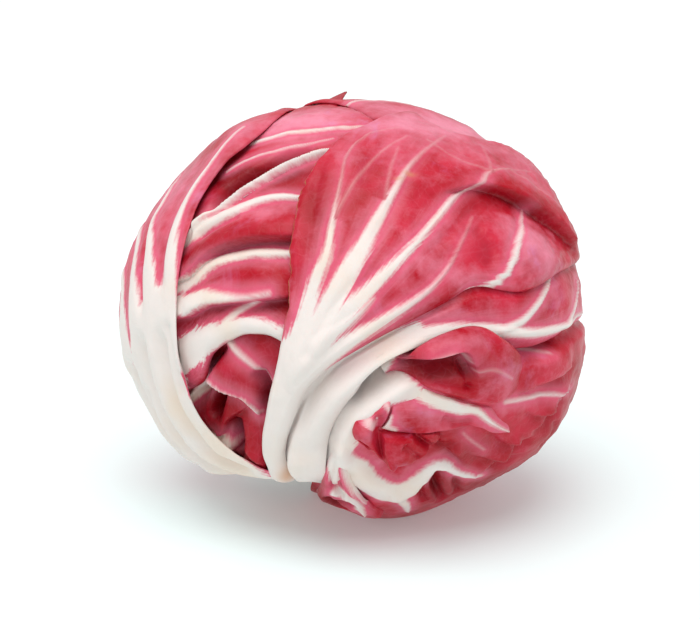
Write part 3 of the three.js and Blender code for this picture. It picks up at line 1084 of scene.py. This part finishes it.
# %% [markdown]
# ## The flap, the curl and the frill
# Under the lobe a flap with a broad white rib hangs over a small curl of two round pouches.
# The frilled corner at the bottom left shows the white and red stripes of the leaf's base.
# A single sheet can't hold three layers, so each of these is drawn as a small sheet as well.

# %% The flap
flap = drawn_sheet(
    "lower_leaf_flap",
    left=[(9, -16), (16, -15), (27, -21), (35, -24), (47, -35)],
    right=[(7, -30), (12, -31), (16, -31), (23, -30), (31, -30), (37, -33), (47, -37)],
    tip=[(47, -35), (47, -36), (47, -37)],
    base=[(9, -16), (10, -21), (9, -26), (7, -30)],
    depth=-0.6, grid=(70, 150),
)
sunk = (1 - ease((-20 - flap.places[..., 1]) / 5)) * (1 - ease((flap.places[..., 0] - 12) / 10))
flap.height -= 4.0 * MM * sunk
flap.draw(
    rib=[
        ([(-1, -28), (4, -22), (9, -19), (14, -19), (20, -22), (26, -25), (31, -26), (36, -30),
         (44, -35)], (2.6, 3.2, 3.4, 2.6, 2.0, 1.4, 0.8, 0.35, 0.15), (0.6, 0.8, 0.6, 0.5, 0.4, 0.3),
         (0.6, 0.7, 0.5, 0.2)),
        ([(9, -26), (8, -29), (10, -30)], (0.4, 1.2, 1.0), 0.2, 0.4, 0.9),
    ],
    groove=[([(22, -27), (26, -29), (31, -29)], 1.0, 1.2)],
    swell=[((14, -27), (6, 3), 1.0)],
    tone=[((17, -27), (9, 3), 0.2)],
    crumple=[(0.35, 5, 35)],
    margin=[
        ("left", (0, 0.6, 2.0, 2.5, 2.5), 5),
        ("right", (1.5, 0.5, -1.2, -1.6, -1.4, -1.0, 0.5, 2.0), (2, 3, 4, 4, 4, 3)), ("tip", 2.5, 6),
    ],
)
make_leaf(flap, over=("lower_leaf_lobe",))

# %% The curl
curl = drawn_sheet(
    "lower_leaf_curl",
    left=[(0, -29), (1, -27), (4, -26), (6, -24), (9, -22), (13, -25), (18, -28), (23, -32)],
    right=[(0, -31), (1, -33), (3, -35), (5, -36), (7, -39), (10, -41), (13, -41), (17, -39), (21, -36)],
    tip=[(23, -32), (23, -34), (21, -36)],
    depth=-2.2, grid=(80, 110),
)
curl.draw(
    rib=[
        ([(3, -26), (5, -28)], (1.0, 0.8), 0.2, 0.5, 0.6),
        ([(7, -22), (9, -24)], (0.8, 0.6), 0.2, 0.5, 0.6),
        ([(3, -30), (5, -33), (7, -37), (10, -40)], (2.2, 2.0, 1.6, 1.0), 1.6, 0.1, 0.0),
    ],
    fold=[([(9, -22), (8, -29), (8, -35), (10, -41)], (0.8, 2.0, 2.2, 1.4), 0.9, 0.6, 6)],
    groove=[
        ([(6, -25), (6, -30), (7, -35), (9, -40)], (1.6, 2.0, 1.8, 1.0), 1.1),
        ([(1, -31), (3, -33), (4, -34)], 1.8, 0.6),
        ([(15, -31), (18, -34), (21, -36)], (2.5, 3.5, 2.0), 1.1),
        ([(12, -33), (15, -36), (17, -38)], 1.2, 1.0),
    ],
    swell=[((3, -29), (3, 2.6), 1.4), ((13, -36), (4, 4), 1.6)],
    tone=[((4, -28), (5, 3), 0.25)],
    crumple=[(0.3, 4, 41)],
    margin=[("left", (3.0, 2.2, 1.6, 2.6), 2.5), ("right", 3.2, 2.5), ("tip", 3.5, 5)],
)
make_leaf(curl, over=("lower_leaf_flap",))

# %% The frill
frill = drawn_sheet(
    "lower_leaf_frill",
    left=[(-3, -34), (-7, -42), (-9, -51), (-11, -59), (-5, -69)],
    right=[(-2, -35), (-1, -42), (1, -50), (5, -58), (11, -68)],
    tip=[(-5, -69), (4, -73), (11, -68)],
    depth=-1.2, grid=(80, 100), hollow=0.2,
)
frill.draw(
    rib=[
        ([(-3, -35), (-5, -41), (-5, -47)], (0.8, 1.8, 1.0), 0.4, 0.6),
        ([(-5, -52), (-2, -54), (1, -58), (4, -66)], (1.2, 1.4, 1.2, 0.5), 0.8, 0.4),
        ([(-2, -35), (-1, -43), (1, -50), (5, -58)], (0.6, 0.9, 0.8, 0.4), 0.3, 0.4),
    ],
    fold=[([(-3, -37), (-3, -44), (-1, -51), (4, -58), (9, -66)], (1.5, 2.6, 2.6, 2.0), 0.8, 0.6, 6)],
    groove=[
        ([(-6, -57), (-2, -58), (1, -61)], 2.4, 0.9), ([(-8, -54), (-5, -60), (-1, -66)], 2.2, 1.1),
        ([(-6, -43), (-5, -49), (-2, -55)], 1.6, 0.8),
    ],
    tone=[((-8, -60), (5, 7), -1.3)],
    crumple=[(0.45, 4, 51)],
    margin=[("right", 3.0, 3), ("left", 2.4, 2.5)],
)
make_leaf(frill)

# %% [markdown]
# ## The lower wrapper
# The lowest leaf carries the head. Its rib runs up beside the right wrapper's rib and into
# the flap, and below it a second white rib sags in a deep U. The blade sweeps under the head
# to the flat spot that it rests on. Its folds are drawn one by one, because noise alone gives
# bumps and not the long creases of a leaf that is gathered at its rib.

# %% The lower wrapper
lower = drawn_sheet(
    "lower_leaf",
    left=[(-16, -68), (-11, -52), (-10, -38), (-5, -28), (4, -17), (14, -9), (30, -8), (45, -8), (60, -6),
          (76, -1), (98, 5)],
    right=[(-20, -88), (-22, -104), (-8, -124), (25, -128), (60, -106), (84, -82), (98, -58)],
    tip=[(98, 5), (106, -12), (105, -32), (98, -58)],
    base=[(-16, -68), (-17, -78), (-20, -88)],
    depth=0.6, grid=(160, 180), hollow=0.6,
)
lower.draw(
    paint=[
        ([(-15, -60), (-10, -48), (-6, -36), (0, -27), (6, -20)], (8, 7, 5, 4, 3)),
        ([(6, -21), (12, -20), (18, -23)], (3, 3, 2)),
    ],
    rib=[
        ([(-10, -58), (-6, -46), (-3, -36), (1, -28), (6, -21), (11, -18)],
         (3.2, 3.2, 3.2, 3.2, 3.4, 3.0), (2.4, 2.4, 2.0, 1.6, 1.2), 1.0),
        ([(-3, -37), (1, -43), (5, -50), (12, -54), (17, -52), (20, -47), (24, -44), (33, -50),
         (42, -54)], (2.0, 3.0, 3.8, 4.2, 3.4, 2.0, 1.2, 0.9, 0.3),
         (1.2, 1.6, 1.8, 1.8, 1.6, 1.2, 1.0, 0.6), (0.6, 0.7, 0.6, 0.3)),
        ([(13, -56), (17, -63), (19, -70)], (2.2, 1.4, 0.7), 0.8, 0.4),
        ([(40, -25), (47, -25), (56, -25), (69, -26)], (0.5, 0.5, 0.35, 0.2), 0.6, 0.15, 0.85),
        ([(29, -33), (32, -36), (37, -40)], (0.15, 0.25, 0.12), 0.3, 0.12, 0.45),
        ([(43, -11), (49, -12), (56, -13)], (0.25, 0.3, 0.15), 0.3, 0.12, 0.6),
    ],
    fold=[
        ([(43, -24), (51, -21), (60, -19), (68, -16)], (1.0, 2.4, 2.6, 1.5), 0.7, 0.9, 8),
        ([(38, -10), (46, -10), (54, -10), (62, -8)], (1.5, 3.0, 2.5), 0.8, 0.6, 6),
        ([(52, -37), (57, -33), (60, -27), (66, -24)], (1.4, 2.6, 1.8), 0.8, 0.4, 7),
        ([(37, -53), (44, -47), (48, -41), (48, -36)], (1.2, 2.4, 1.4), 1.0, 0.0, 8),
        ([(21, -34), (26, -38), (31, -43), (34, -47)], (1.0, 2.8, 1.6), 0.8, 0.6, 7),
        ([(47, -28), (54, -31), (62, -29), (69, -22)], (1.2, 2.2, 1.2), 0.7, 0.3, 6),
        ([(37, -33), (45, -39), (54, -38)], (1.2, 2.4, 1.0), 0.7, 0.3, 5),
        ([(30, -38), (37, -43), (46, -46), (56, -44)], (1.0, 2.0, 1.0), 0.8, 0.0, 6),
    ],
    groove=[
        ([(26, -46), (25, -53), (28, -60), (31, -66)], (2.0, 4.5, 4.0, 2.0), 1.4),
        ([(22, -50), (21, -56), (23, -62)], (1.0, 3.0, 1.5), 1.2),
        ([(30, -50), (33, -56), (36, -63)], (1.0, 2.4, 1.0), 1.3),
        ([(20, -33), (24, -36), (28, -37)], 2.0, 1.4), ([(61, -46), (63, -40), (62, -34)], 1.0, 1.2),
    ],
    swell=[
        ((9, -42), (9, 5), -2.2), ((-9, -55), (8, 8), -2.5), ((54, -15), (9, 4), 1.2),
        ((56, -38), (14, 10), 1.0),
    ],
    # painted shade low under the head, in the deep groove, in the gap under the right wrapper's rib and
    # under a fold; two patches are a little pinker
    tone=[
        ((45, -60), (26, 12), -0.6), ((70, -36), (14, 22), -0.35), ((30, -40), (10, 6), -0.3),
        ((26, -56), (4, 7), -0.5), ((8, -44), (7, 3), 0.3), ((60, -20), (10, 8), 0.2),
        ((50, -10), (8, 2), -0.6), ((58, -22), (7, 1.5), -0.4),
    ],
    crumple=[(0.6, 9, 21), (0.3, 3.5, 23)],
)
stands = ease((-on_face(lower.places)[..., 2] - 0.8) / 0.12)
lower.height *= 1 - stands
make_leaf(lower, over=("front_leaf", "right_leaf"), replaces="lower_wrapper", spread=5)

# %% [markdown]
# ## The left wrapper
# This leaf is almost all rib: ivory with long soft grooves below, and thin red tongues between
# white fingers above. Its free margin lies over the pleated leaf beside it. A flat pattern
# could show the fingers too, but as ribs they keep their shade from every side.

# %% The left wrapper
left_wrapper = drawn_sheet(
    "left_leaf",
    left=[(-36, -88), (-70, -84), (-98, -56), (-110, -14), (-106, 28), (-90, 66), (-62, 98)],
    right=[(-22, -66), (-20, -52), (-28, -46), (-37, -39), (-43, -27), (-45, -12), (-46, 4), (-46, 20),
           (-45, 31), (-40, 42), (-35, 49), (-31, 56), (-27, 65), (-24, 80), (-22, 98)],
    tip=[(-62, 98), (-42, 106), (-22, 98)],
    base=[(-36, -88), (-30, -76), (-22, -66)],
    depth=0.6, grid=(110, 170), hollow=0.15,
)
FINGERS = [
    ([(-47, -14), (-49, 0), (-50, 13), (-51, 25), (-49, 34), (-42, 47), (-36, 60)],
     (4.0, 3.6, 2.6, 1.7, 1.0, 0.6, 0.3)),
    ([(-54, -10), (-57, 4), (-61, 18), (-65, 28), (-64, 40), (-67, 52)], (4.2, 3.6, 2.2, 1.4, 0.8, 0.4)),
    ([(-62, -14), (-66, 4), (-71, 18), (-75, 34)], (4.5, 3.0, 1.4, 0.4)),
    ([(-72, -14), (-78, 8), (-83, 26)], (4.5, 2.4, 0.5)),
    ([(-84, -20), (-91, 4), (-96, 24)], (5.0, 2.6, 0.6)),
]
for points, width in FINGERS:
    left_wrapper.draw_rib(points, width, (0.8, 0.7, 0.6, 0.4, 0.25), feather=(1.0, 0.8, 0.5, 0.3, 0.2))
left_wrapper.draw(
    paint=[
        ([(-26, -60), (-45, -48), (-54, -36), (-58, -22), (-58, -8), (-56, 0)], (9, 12, 14, 14, 11, 6),
         1.2),
        ([(-60, -64), (-74, -44), (-80, -24), (-80, -6)], (16, 16, 11, 4), 1.2),
    ],
    fold=[([(-66, 50), (-72, 34), (-78, 16), (-80, 4)], (0.8, 2.0, 1.0), 0.8, 0.6, 8)],
    groove=[
        ([(-28, -50), (-42, -46), (-49, -34), (-52, -22), (-53, -4)], 3.0, 2.2),
        ([(-36, -58), (-53, -48), (-59, -36), (-62, -22), (-61, -6)], 3.4, 2.6),
        ([(-46, -25), (-48, -15), (-50, -3)], 1.6, 1.6),
        ([(-50, -60), (-65, -48), (-72, -34), (-74, -16)], 3.2, 2.8),
        ([(-58, -52), (-66, -38), (-67, -24)], 1.6, 1.8),
        ([(-60, -3), (-63, 8), (-64, 16), (-68, 30)], 1.4, 1.2),
        ([(-52, 4), (-54, 14), (-55, 26)], 0.8, 1.6),
    ],
    swell=[((-48, -58), (14, 10), 4.4), ((-21, -60), (5, 8), -3.0), ((-42, 66), (24, 20), 1.6)],
    tone=[((-60, 42), (16, 20), 0.6), ((-33, 60), (8, 14), 0.5)],
    crumple=[(0.9, 13, 61, (1.0, 0.5)), (0.2, 4, 63, (1.0, 0.6))],
    margin=[
        ("right", (1, 1, 0.8, 0, -0.6, -0.4, 0.4, 1.2, 1.6, 1.4, 1.0, 1.0),
         (4, 4, 3, 6, 8, 6, 5, 6, 6, 5)),
        ("tip", 2.0, 12),
    ],
)
make_leaf(left_wrapper, replaces="left_wrapper")

# %% [markdown]
# ## The crown leaf
# This leaf comes up the back and closes over the top of the head. Only a strip of it shows
# above the front wrapper, painted pale pink as a highlight where the top light falls. Its
# margins are hidden, so it follows a route over the head by rule instead of being drawn between them.

# %% The crown leaf
crown = wound_sheet(
    "crown_leaf_sheet",
    [(-120, -66), (150, -50), (144, 0), (138, 45), (131, 69), (-50, 88)],
    half_width=44, depth=1.8, grid=(90, 130),
)
draw_veins(crown, 44, pairs=7, seed=2)
crown.drawn = face_places(crown.to_direction(crown.places))
crown.height += 1.6 * MM * ease((crown.drawn[..., 1] - 64) / 14)
crown.draw(
    # painted highlight: the strip on top is painted pale pink where the top light falls
    tone=[((38, 66), (20, 9), 1.0), ((6, 72), (24, 7), 0.45)],
    crumple=[(0.5, 12, 101), (0.2, 4, 103)],
    margin=[("left", 1.2, 4), ("right", 1.2, 4), ("tip", 0.6, 2.5)],
)
make_leaf(crown, over=("front_leaf", "left_leaf"), replaces="crown_leaf")

# %% The dark tip on top
tip = drawn_sheet(
    "crown_leaf_tip",
    left=[(-16, 79), (-10, 84), (-3, 88)],
    right=[(-7, 74), (-4, 80), (-2, 86)],
    tip=[(-3, 88), (-3, 87), (-2, 86)],
    depth=2.2, grid=(24, 32),
)
tip.height += 4.0 * MM * np.linspace(0, 1, tip.height.shape[0])[:, None]
tip.draw_tone((-6, 82), (20, 20), -0.4)
make_leaf(tip)

# %% [markdown]
# ## The pleated leaf
# Between the left and the front wrapper a second leaf shows, drawn into pleats like a
# concertina. Each pleat is a rib with the blade bulging over it and a fold below, painted dark as shade.

# %% The pleated leaf
pleated = drawn_sheet(
    "pleated_leaf",
    left=[(-42, 76), (-22, 90), (0, 86), (16, 70)],
    right=[(-51, -26), (-42, -21), (-38, -13), (-30, -8), (-25, -7), (-19, -8), (-10, -15)],
    tip=[(16, 70), (2, 45), (-5, 25), (-9, 5), (-10, -15)],
    base=[(-42, 76), (-52, 50), (-58, 25), (-57, 0), (-51, -26)],
    depth=3.4, grid=(180, 110),
)
# the whole leaf is painted a little deeper red
pleated.tone -= 0.2
pleated.height += 2.4 * MM * ease((pleated.places[..., 1] - 50) / 16)
PLEATS = [
    ([(-52, 17), (-44, 24), (-31, 33), (-20, 40), (-12, 44), (-4, 46)], (1.2, 1.0, 1.0, 0.9, 0.9), 2.2),
    ([(-50, 18), (-43, 22), (-37, 25), (-23, 30), (-10, 29)], (1.6, 1.8, 1.5, 1.0, 0.6), 1.0),
    ([(-52, 4), (-43, 8), (-39, 11), (-33, 13), (-24, 14), (-9, 13)], (2.0, 2.0, 1.7, 1.3, 1.1, 0.9),
     1.6),
    ([(-52, 0), (-45, 1), (-38, 3), (-28, 3), (-20, 4)], (2.4, 2.2, 1.3, 0.5, 0.2), 0.6),
    ([(-54, -20), (-46, -13), (-40, -9), (-32, -6), (-24, -5), (-17, -8), (-10, -11)],
     (6.0, 5.0, 3.8, 2.8, 2.3, 2.6, 2.6), 0.8),
    ([(-33, -5), (-29, -1), (-24, 2)], (1.6, 1.0, 0.3), 0.2),
    ([(-46, 22), (-42, 27), (-39, 30)], (2.0, 1.6, 0.6), 0.2),
    ([(-34, 55), (-21, 57), (-13, 57), (5, 58)], (0.7, 0.7, 0.6, 0.4), 0.3),
    ([(-40, 43), (-32, 47), (-24, 49), (-17, 51), (-6, 53)], (0.25, 0.35, 0.3, 0.2, 0.1), 0.2),
]
for points, width, height in PLEATS:
    pleated.draw_rib(points, width, height, feather=tuple(0.4 * w for w in width))
pleated.draw(
    fold=[
        ([(-52, 6), (-45, 9), (-40, 13), (-35, 16), (-25, 18), (-10, 18)], (3.0, 4.0, 4.5, 4.0, 4.0), 0.8,
         1.1, 8),
        ([(-52, -4), (-45, -2), (-38, 1), (-27, 2), (-16, 3), (-8, 5)], (3.0, 4.0, 4.5, 4.0, 4.0), 0.8,
         1.2, 8),
    ],
    groove=[
        ([(-43, 27), (-37, 33), (-28, 40), (-19, 46), (-10, 49)], (5.0, 11.0, 10.0, 4.0), 2.0),
        ([(-44, 19), (-38, 22), (-30, 25)], 1.0, 1.2),
    ],
    swell=[((-24, 23), (14, 4), 1.0), ((-26, 9), (14, 3.4), 1.2), ((-28, -2.5), (12, 2.5), 0.8)],
    # painted light on the top and on the pleat crests, painted shade in the deep valley and under the two
    # folds
    tone=[
        ((-20, 63), (26, 10), 1.2), ((-22, 25), (14, 3), 0.55), ((-24, 9), (10, 3), 0.15),
        ((-29, 39), (13, 3.5), -2.2), ((-34, 13), (12, 1.6), -0.9), ((-22, 16), (14, 1.5), -0.9),
        ((-28, 0), (18, 1.6), -1.0),
    ],
    crumple=[(0.4, 8, 81, (0.6, 1.4)), (0.2, 3, 83)],
    margin=[("right", (2.0, 2.0, 1.5, 1.2, 1.2), 3)],
)
make_leaf(pleated, over=("front_leaf", "left_leaf", "crown_leaf_sheet"), replaces="second_leaf")

# %% [markdown]
# ## The crumpled leaf
# At the bottom of the gap a small leaf is pressed into deep hollows, painted dark as shade. Moving the mesh
# by noise would put them anywhere, so the hollows are drawn as grooves, deeper than they are wide.

# %% The crumpled leaf
crumpled = drawn_sheet(
    "crumpled_leaf_sheet",
    left=[(-38, -68), (-46, -50), (-52, -30), (-50, -14), (-40, -2)],
    right=[(-16, -68), (-13, -46), (-12, -30), (-11, -16), (-12, -2)],
    tip=[(-40, -2), (-26, 0), (-12, -2)],
    depth=6.0, grid=(130, 140), hollow=0.25,
)
crumpled.drawn = crumpled.places * 0.87  # this leaf is deep, so it looks nearer the middle
# the whole leaf is painted a little deeper red
crumpled.tone -= 0.25
crumpled.draw(
    rib=[
        ([(-47, -27), (-42, -23), (-36, -18), (-31, -20), (-26, -22), (-23, -26)],
         (1.5, 1.3, 1.0, 0.8, 0.6, 0.4), 1.0, 0.3),
        ([(-30, -7), (-27, -10), (-22, -14), (-18, -19)], (0.9, 0.6, 0.35, 0.2), 0.6, 0.12, 0.8),
        ([(-38, -36), (-35, -36), (-33, -37)], (1.6, 2.2, 1.6), 1.4, 0.4),
    ],
    fold=[
        ([(-46, -27), (-42, -23), (-36, -18), (-31, -20), (-26, -22), (-23, -27)],
         (1.5, 3.0, 4.5, 3.5, 1.0), 0.7, 0.5, 7),
        ([(-41, -30), (-35, -34), (-32, -29), (-25, -24)], (1.0, 2.5, 2.5, 1.5), 0.7, 0.4, 6),
    ],
    groove=[
        ([(-42, -25), (-38, -18), (-35, -13), (-30, -8)], (2.0, 5.0, 5.0, 2.0), 1.8),
        ([(-34, -20), (-35, -25), (-37, -30)], (5.0, 10.0, 5.0), 1.4),
        ([(-31, -29), (-30, -34), (-30, -40)], (5.0, 10.0, 6.0), 1.5),
        ([(-31, -38), (-29, -41), (-27, -43)], 3.0, 1.2),
        ([(-22, -14), (-20, -20), (-21, -28)], (3.0, 5.0, 4.0), 1.3),
    ],
    swell=[
        ((-24, -43), (7, 5), 5.0), ((-31, -41), (7, 6), 5.0), ((-27, -15), (6, 5), 2.2),
        ((-25, -36), (4, 8), 1.6), ((-42, -38), (5, 8), 2.0),
    ],
    # painted shade in the hollows between the folds and swells
    tone=[
        ((-36, -25), (2.2, 6), -0.9), ((-30, -35), (2.2, 7), -0.9), ((-37, -15), (3, 6), -0.7),
        ((-21, -21), (2, 7), -0.6), ((-26, -43), (6, 3), -0.6),
    ],
    crumple=[(0.4, 6, 91), (0.2, 2.5, 93)],
)
make_leaf(crumpled, over=("front_leaf", "left_leaf", "pleated_leaf"), replaces="crumpled_leaf")

# %% [markdown]
# ## The leaves of the far side
# Broad leaves climb from the stem under the head and up its back. They differ only in their
# heading, reach and depth, so a loop makes them from a small table. Each one is pressed under
# the leaves that were made before it.

# %% The far side
FAR_LEAVES = [
    ("rear_leaf", "rear_wrapper", 178, 172, 60, 2.6, (80, 110)),
    ("rear_right_leaf", "rear_right_wrapper", 128, 158, 56, 5.0, (70, 100)),
    ("rear_left_leaf", "rear_left_wrapper", -128, 158, 56, 6.5, (70, 100)),
]
over = ["front_leaf", "lower_leaf", "left_leaf", "crown_leaf_sheet"]
for number, (name, node, heading, reach, half_width, depth, grid) in enumerate(FAR_LEAVES):
    sheet = grown_sheet(name, heading, reach, half_width, depth, grid)
    draw_veins(sheet, half_width, pairs=7, seed=number)
    sheet.draw(
        crumple=[(0.8, 12, 111 + number), (0.25, 4, 121 + number)],
        margin=[("left", 1.2, 4), ("right", 1.2, 4), ("tip", 1.2, 4)],
    )
    make_leaf(sheet, over=tuple(over), replaces=node)
    over.append(name)

# %% The pale leaf
pale_leaf = wound_sheet(
    "pale_leaf_sheet",
    [(20, -64), (80, -40), (100, 10), (96, 42), (60, 66), (-60, 74)],
    half_width=36, depth=7.0, grid=(50, 90),
)
draw_veins(pale_leaf, 36, pairs=6, seed=5)
pale_leaf.draw(crumple=[(0.4, 8, 131)], tone=[((0, 100), (40, 60), 0.5)])
make_leaf(pale_leaf, over=tuple(over + ["right_leaf"]), replaces="pale_leaf")

# %% [markdown]
# ## The heart
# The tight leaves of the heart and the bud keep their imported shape: they can't be seen until
# the head is cut, and finer sheets would only add faces. They get a finish of their own, pale
# cream with a blush of pink.

# %% The heart finish
def heart_finish():
    paint = Paint("heart leaf")
    place = paint.node("ShaderNodeTexCoord", output="Object")
    blush = paint.noise(place, 90.0, detail=4.0).step(0.45, 0.7)
    bump = paint.node("ShaderNodeBump", Height=paint.noise(place, 400.0), Strength=0.2, Distance=0.0005)
    return paint.finish(Base_Color=paint.mix(blush * 0.7, IVORY, PINK), Roughness=0.42, Normal=bump)


HEART = heart_finish()
heart_nodes = [node for name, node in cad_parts.items() if name.startswith("heart_")]
for node in heart_nodes:
    node.data.materials.clear()
    node.data.materials.append(HEART)
print(len(heart_nodes), "nodes of the heart have the heart finish")

# %% [markdown]
# ## The stem
# The cut stem is a short fluted cone. The scars where outer leaves were torn off wind round it
# by the golden angle, as leaves do on every stem, so a Geometry Nodes tree places them: one
# point for each scar, with its turn and its height worked out from its number.

# %% The scar tree
GOLDEN_ANGLE = math.radians(137.508)
STEM_SLOPE = 0.185  # how fast the stem widens from its point in the middle of the head


def make_scar_tree():
    numbers = [
        ("Scars", "Int", 13),
        ("Turn", "Float", GOLDEN_ANGLE),
        ("Lowest", "Float", 27 * MM),
        ("Highest", "Float", 41 * MM),
        ("Slope", "Float", STEM_SLOPE + 0.005),
    ]
    tree = ShapeTree("leaf scars", numbers, "Stem Material")
    stem, scars, turn, lowest, highest, slope, _ = tree.inputs
    number = tree.node("GeometryNodeInputIndex")
    angle = number * turn
    height = number / scars * (highest - lowest) + lowest
    radius = height * slope
    line = tree.node("GeometryNodeMeshLine", Count=scars)
    place = tree.node("ShaderNodeCombineXYZ", X=radius * angle.cosine(), Y=radius * angle.sine(), Z=height)
    points = tree.node("GeometryNodeSetPosition", Geometry=line, Position=place)
    scar = tree.node("GeometryNodeMeshUVSphere", Segments=16, Rings=10, Radius=MM)
    placed = tree.node(
        "GeometryNodeInstanceOnPoints",
        Points=points,
        Instance=scar,
        Rotation=tree.node("ShaderNodeCombineXYZ", Z=angle),
        Scale=(0.5, 2.8, 0.8),
    )
    return tree.finish(tree.both(placed, stem))


# %% The stem finish
def stem_finish():
    paint = Paint("cut stem")
    place = paint.node("ShaderNodeTexCoord", output="Object")
    cut = paint.stored("cut")
    fibres = paint.noise(place, 700.0, detail=4.0)
    side = paint.mix(paint.noise(place, 120.0).step(0.4, 0.75) * 0.8, IVORY, CREAM)
    face = paint.mix(fibres.step(0.35, 0.7), TAN, srgb(172, 104, 62))
    colour = paint.mix(cut.step(0.2, 0.7), side, face)
    bump = paint.node("ShaderNodeBump", Height=fibres, Strength=0.35, Distance=0.0005)
    return paint.finish(Base_Color=colour, Roughness=0.6 + cut * 0.15, Normal=bump)


# %% The stem
ROOT, CUT = 15 * MM, 43 * MM  # from the middle of the head to the two ends
DOME = 0.5 * MM  # how far the cut face bulges
FLUTES = 7
RINGS, SIDES = 40, 96
around = np.linspace(0, 2 * math.pi, SIDES, endpoint=False)
rows = [(z, z * STEM_SLOPE, 0.0) for z in ROOT + (CUT - ROOT) * np.linspace(0, 1, RINGS)]
rows += [(CUT + DOME * (1 - f**2), CUT * STEM_SLOPE * f, 1.0) for f in (0.93, 0.8, 0.6, 0.4, 0.2)]
height, radius, cut = (np.array(column)[:, None] + 0 * around for column in zip(*rows))
radius = radius * (1 + 0.05 * np.cos(FLUTES * around) + 0.02 * np.cos(17 * around + 1))
rings = np.stack([radius * np.cos(around), radius * np.sin(around), height], -1)
corners = np.arange(rings.shape[0] * SIDES).reshape(-1, SIDES)
quads = [
    (corners[r, s], corners[r, (s + 1) % SIDES], corners[r + 1, (s + 1) % SIDES], corners[r + 1, s])
    for r in range(len(corners) - 1)
    for s in range(SIDES)
]
ends = [corners[0, ::-1].tolist(), corners[-1].tolist()]
stem_mesh = bpy.data.meshes.new("stem_butt")
stem_mesh.from_pydata(rings.reshape(-1, 3).tolist(), [], [list(map(int, q)) for q in quads] + ends)
stem_mesh.attributes.new("cut", "FLOAT", "POINT").data.foreach_set("value", cut.astype(np.float32).ravel())
stem = add_object("stem_butt", stem_mesh)
apply_tree(stem, make_scar_tree(), Stem_Material=stem_finish())
turn = Vector(STEM).to_track_quat("Z", "Y").to_matrix().to_4x4()
turn.translation = Vector(MIDDLE)
stem.data.transform(turn)
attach(stem, "root")
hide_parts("stem")
wide = round(2 * CUT * STEM_SLOPE / MM, 1)
print("the stem is", round((CUT - ROOT) / MM), "mm long and", wide, "mm wide at the cut")

# %% [markdown]
# ## The floor
# The head rests on a plain pale floor. It isn't part of the head. It glows faintly, which keeps
# it near white without more light on the leaves.

# %% The floor
FLOOR_HALF = 3.0  # metres from the head to the floor's edge
floor_mesh = bpy.data.meshes.new("floor")
corners = [(x * FLOOR_HALF, y * FLOOR_HALF, GROUND) for x, y in ((-1, -1), (1, -1), (1, 1), (-1, 1))]
floor_mesh.from_pydata(corners, [], [(0, 1, 2, 3)])
floor = add_object("floor", floor_mesh)
pale_floor = Paint("pale floor").finish(
    Base_Color=(0.68, 0.79, 0.785, 1.0),
    Roughness=0.9,
    Emission_Color=(1.0, 1.0, 1.0, 1.0),
    Emission_Strength=0.2,
)
floor_mesh.materials.append(pale_floor)
print("the floor is", 2 * FLOOR_HALF, "m wide and lies at", round(GROUND / MM, 1), "mm")

# %% [markdown]
# ## The light
# A white studio lights the head evenly from everywhere, and one very wide soft light from
# above gives the folds their shade. A sun lamp with a wide angle does that without any
# softbox standing in the way of other views.

# %% The light
WORLD_LIGHT = 0.64
TOP_LIGHT = 2.0
world = bpy.data.worlds.new("studio")
bpy.context.scene.world = world
world.use_nodes = True
background = world.node_tree.nodes["Background"]
background.inputs["Color"].default_value = (1.0, 1.0, 1.0, 1.0)
background.inputs["Strength"].default_value = WORLD_LIGHT


def add_softbox(name, azimuth, elevation, spread, strength):
    """Soft, even light from one side; the spread is how wide the softbox looks, in degrees."""
    data = bpy.data.lights.new(name, "SUN")
    data.angle = math.radians(spread)
    data.energy = strength
    softbox = add_object(name, data)
    softbox.rotation_euler = Vector(compass(azimuth, elevation)).to_track_quat("Z", "Y").to_euler()
    return softbox


top = add_softbox("top softbox", -14, 70, 50, TOP_LIGHT)
print("the top light looks", round(math.degrees(top.data.angle)), "degrees wide")

# %% [markdown]
# ## The camera
# The camera looks at the face of the head, a little down on it, through a long lens. A short
# lens close by would make the nearest leaf look larger than it is.

# %% The camera
LENS = 100.0  # mm
SENSOR = 36.0  # mm
VIEW_DISTANCE = 0.5416  # metres
camera_data = bpy.data.cameras.new("camera")
camera_data.lens = LENS
camera_data.sensor_width = SENSOR
camera = add_object("camera", camera_data)
aim = MIDDLE - 0.56 * MM * RIGHT - 0.70 * MM * UP  # the head stands a little right of the middle
camera.location = Vector(aim + FACE * VIEW_DISTANCE)
camera.rotation_euler = Vector(FACE).to_track_quat("Z", "Y").to_euler()
bpy.context.scene.camera = camera
bpy.context.scene.view_settings.view_transform = "Standard"
print("the camera is", round(VIEW_DISTANCE / MM), "mm from the middle of the head")
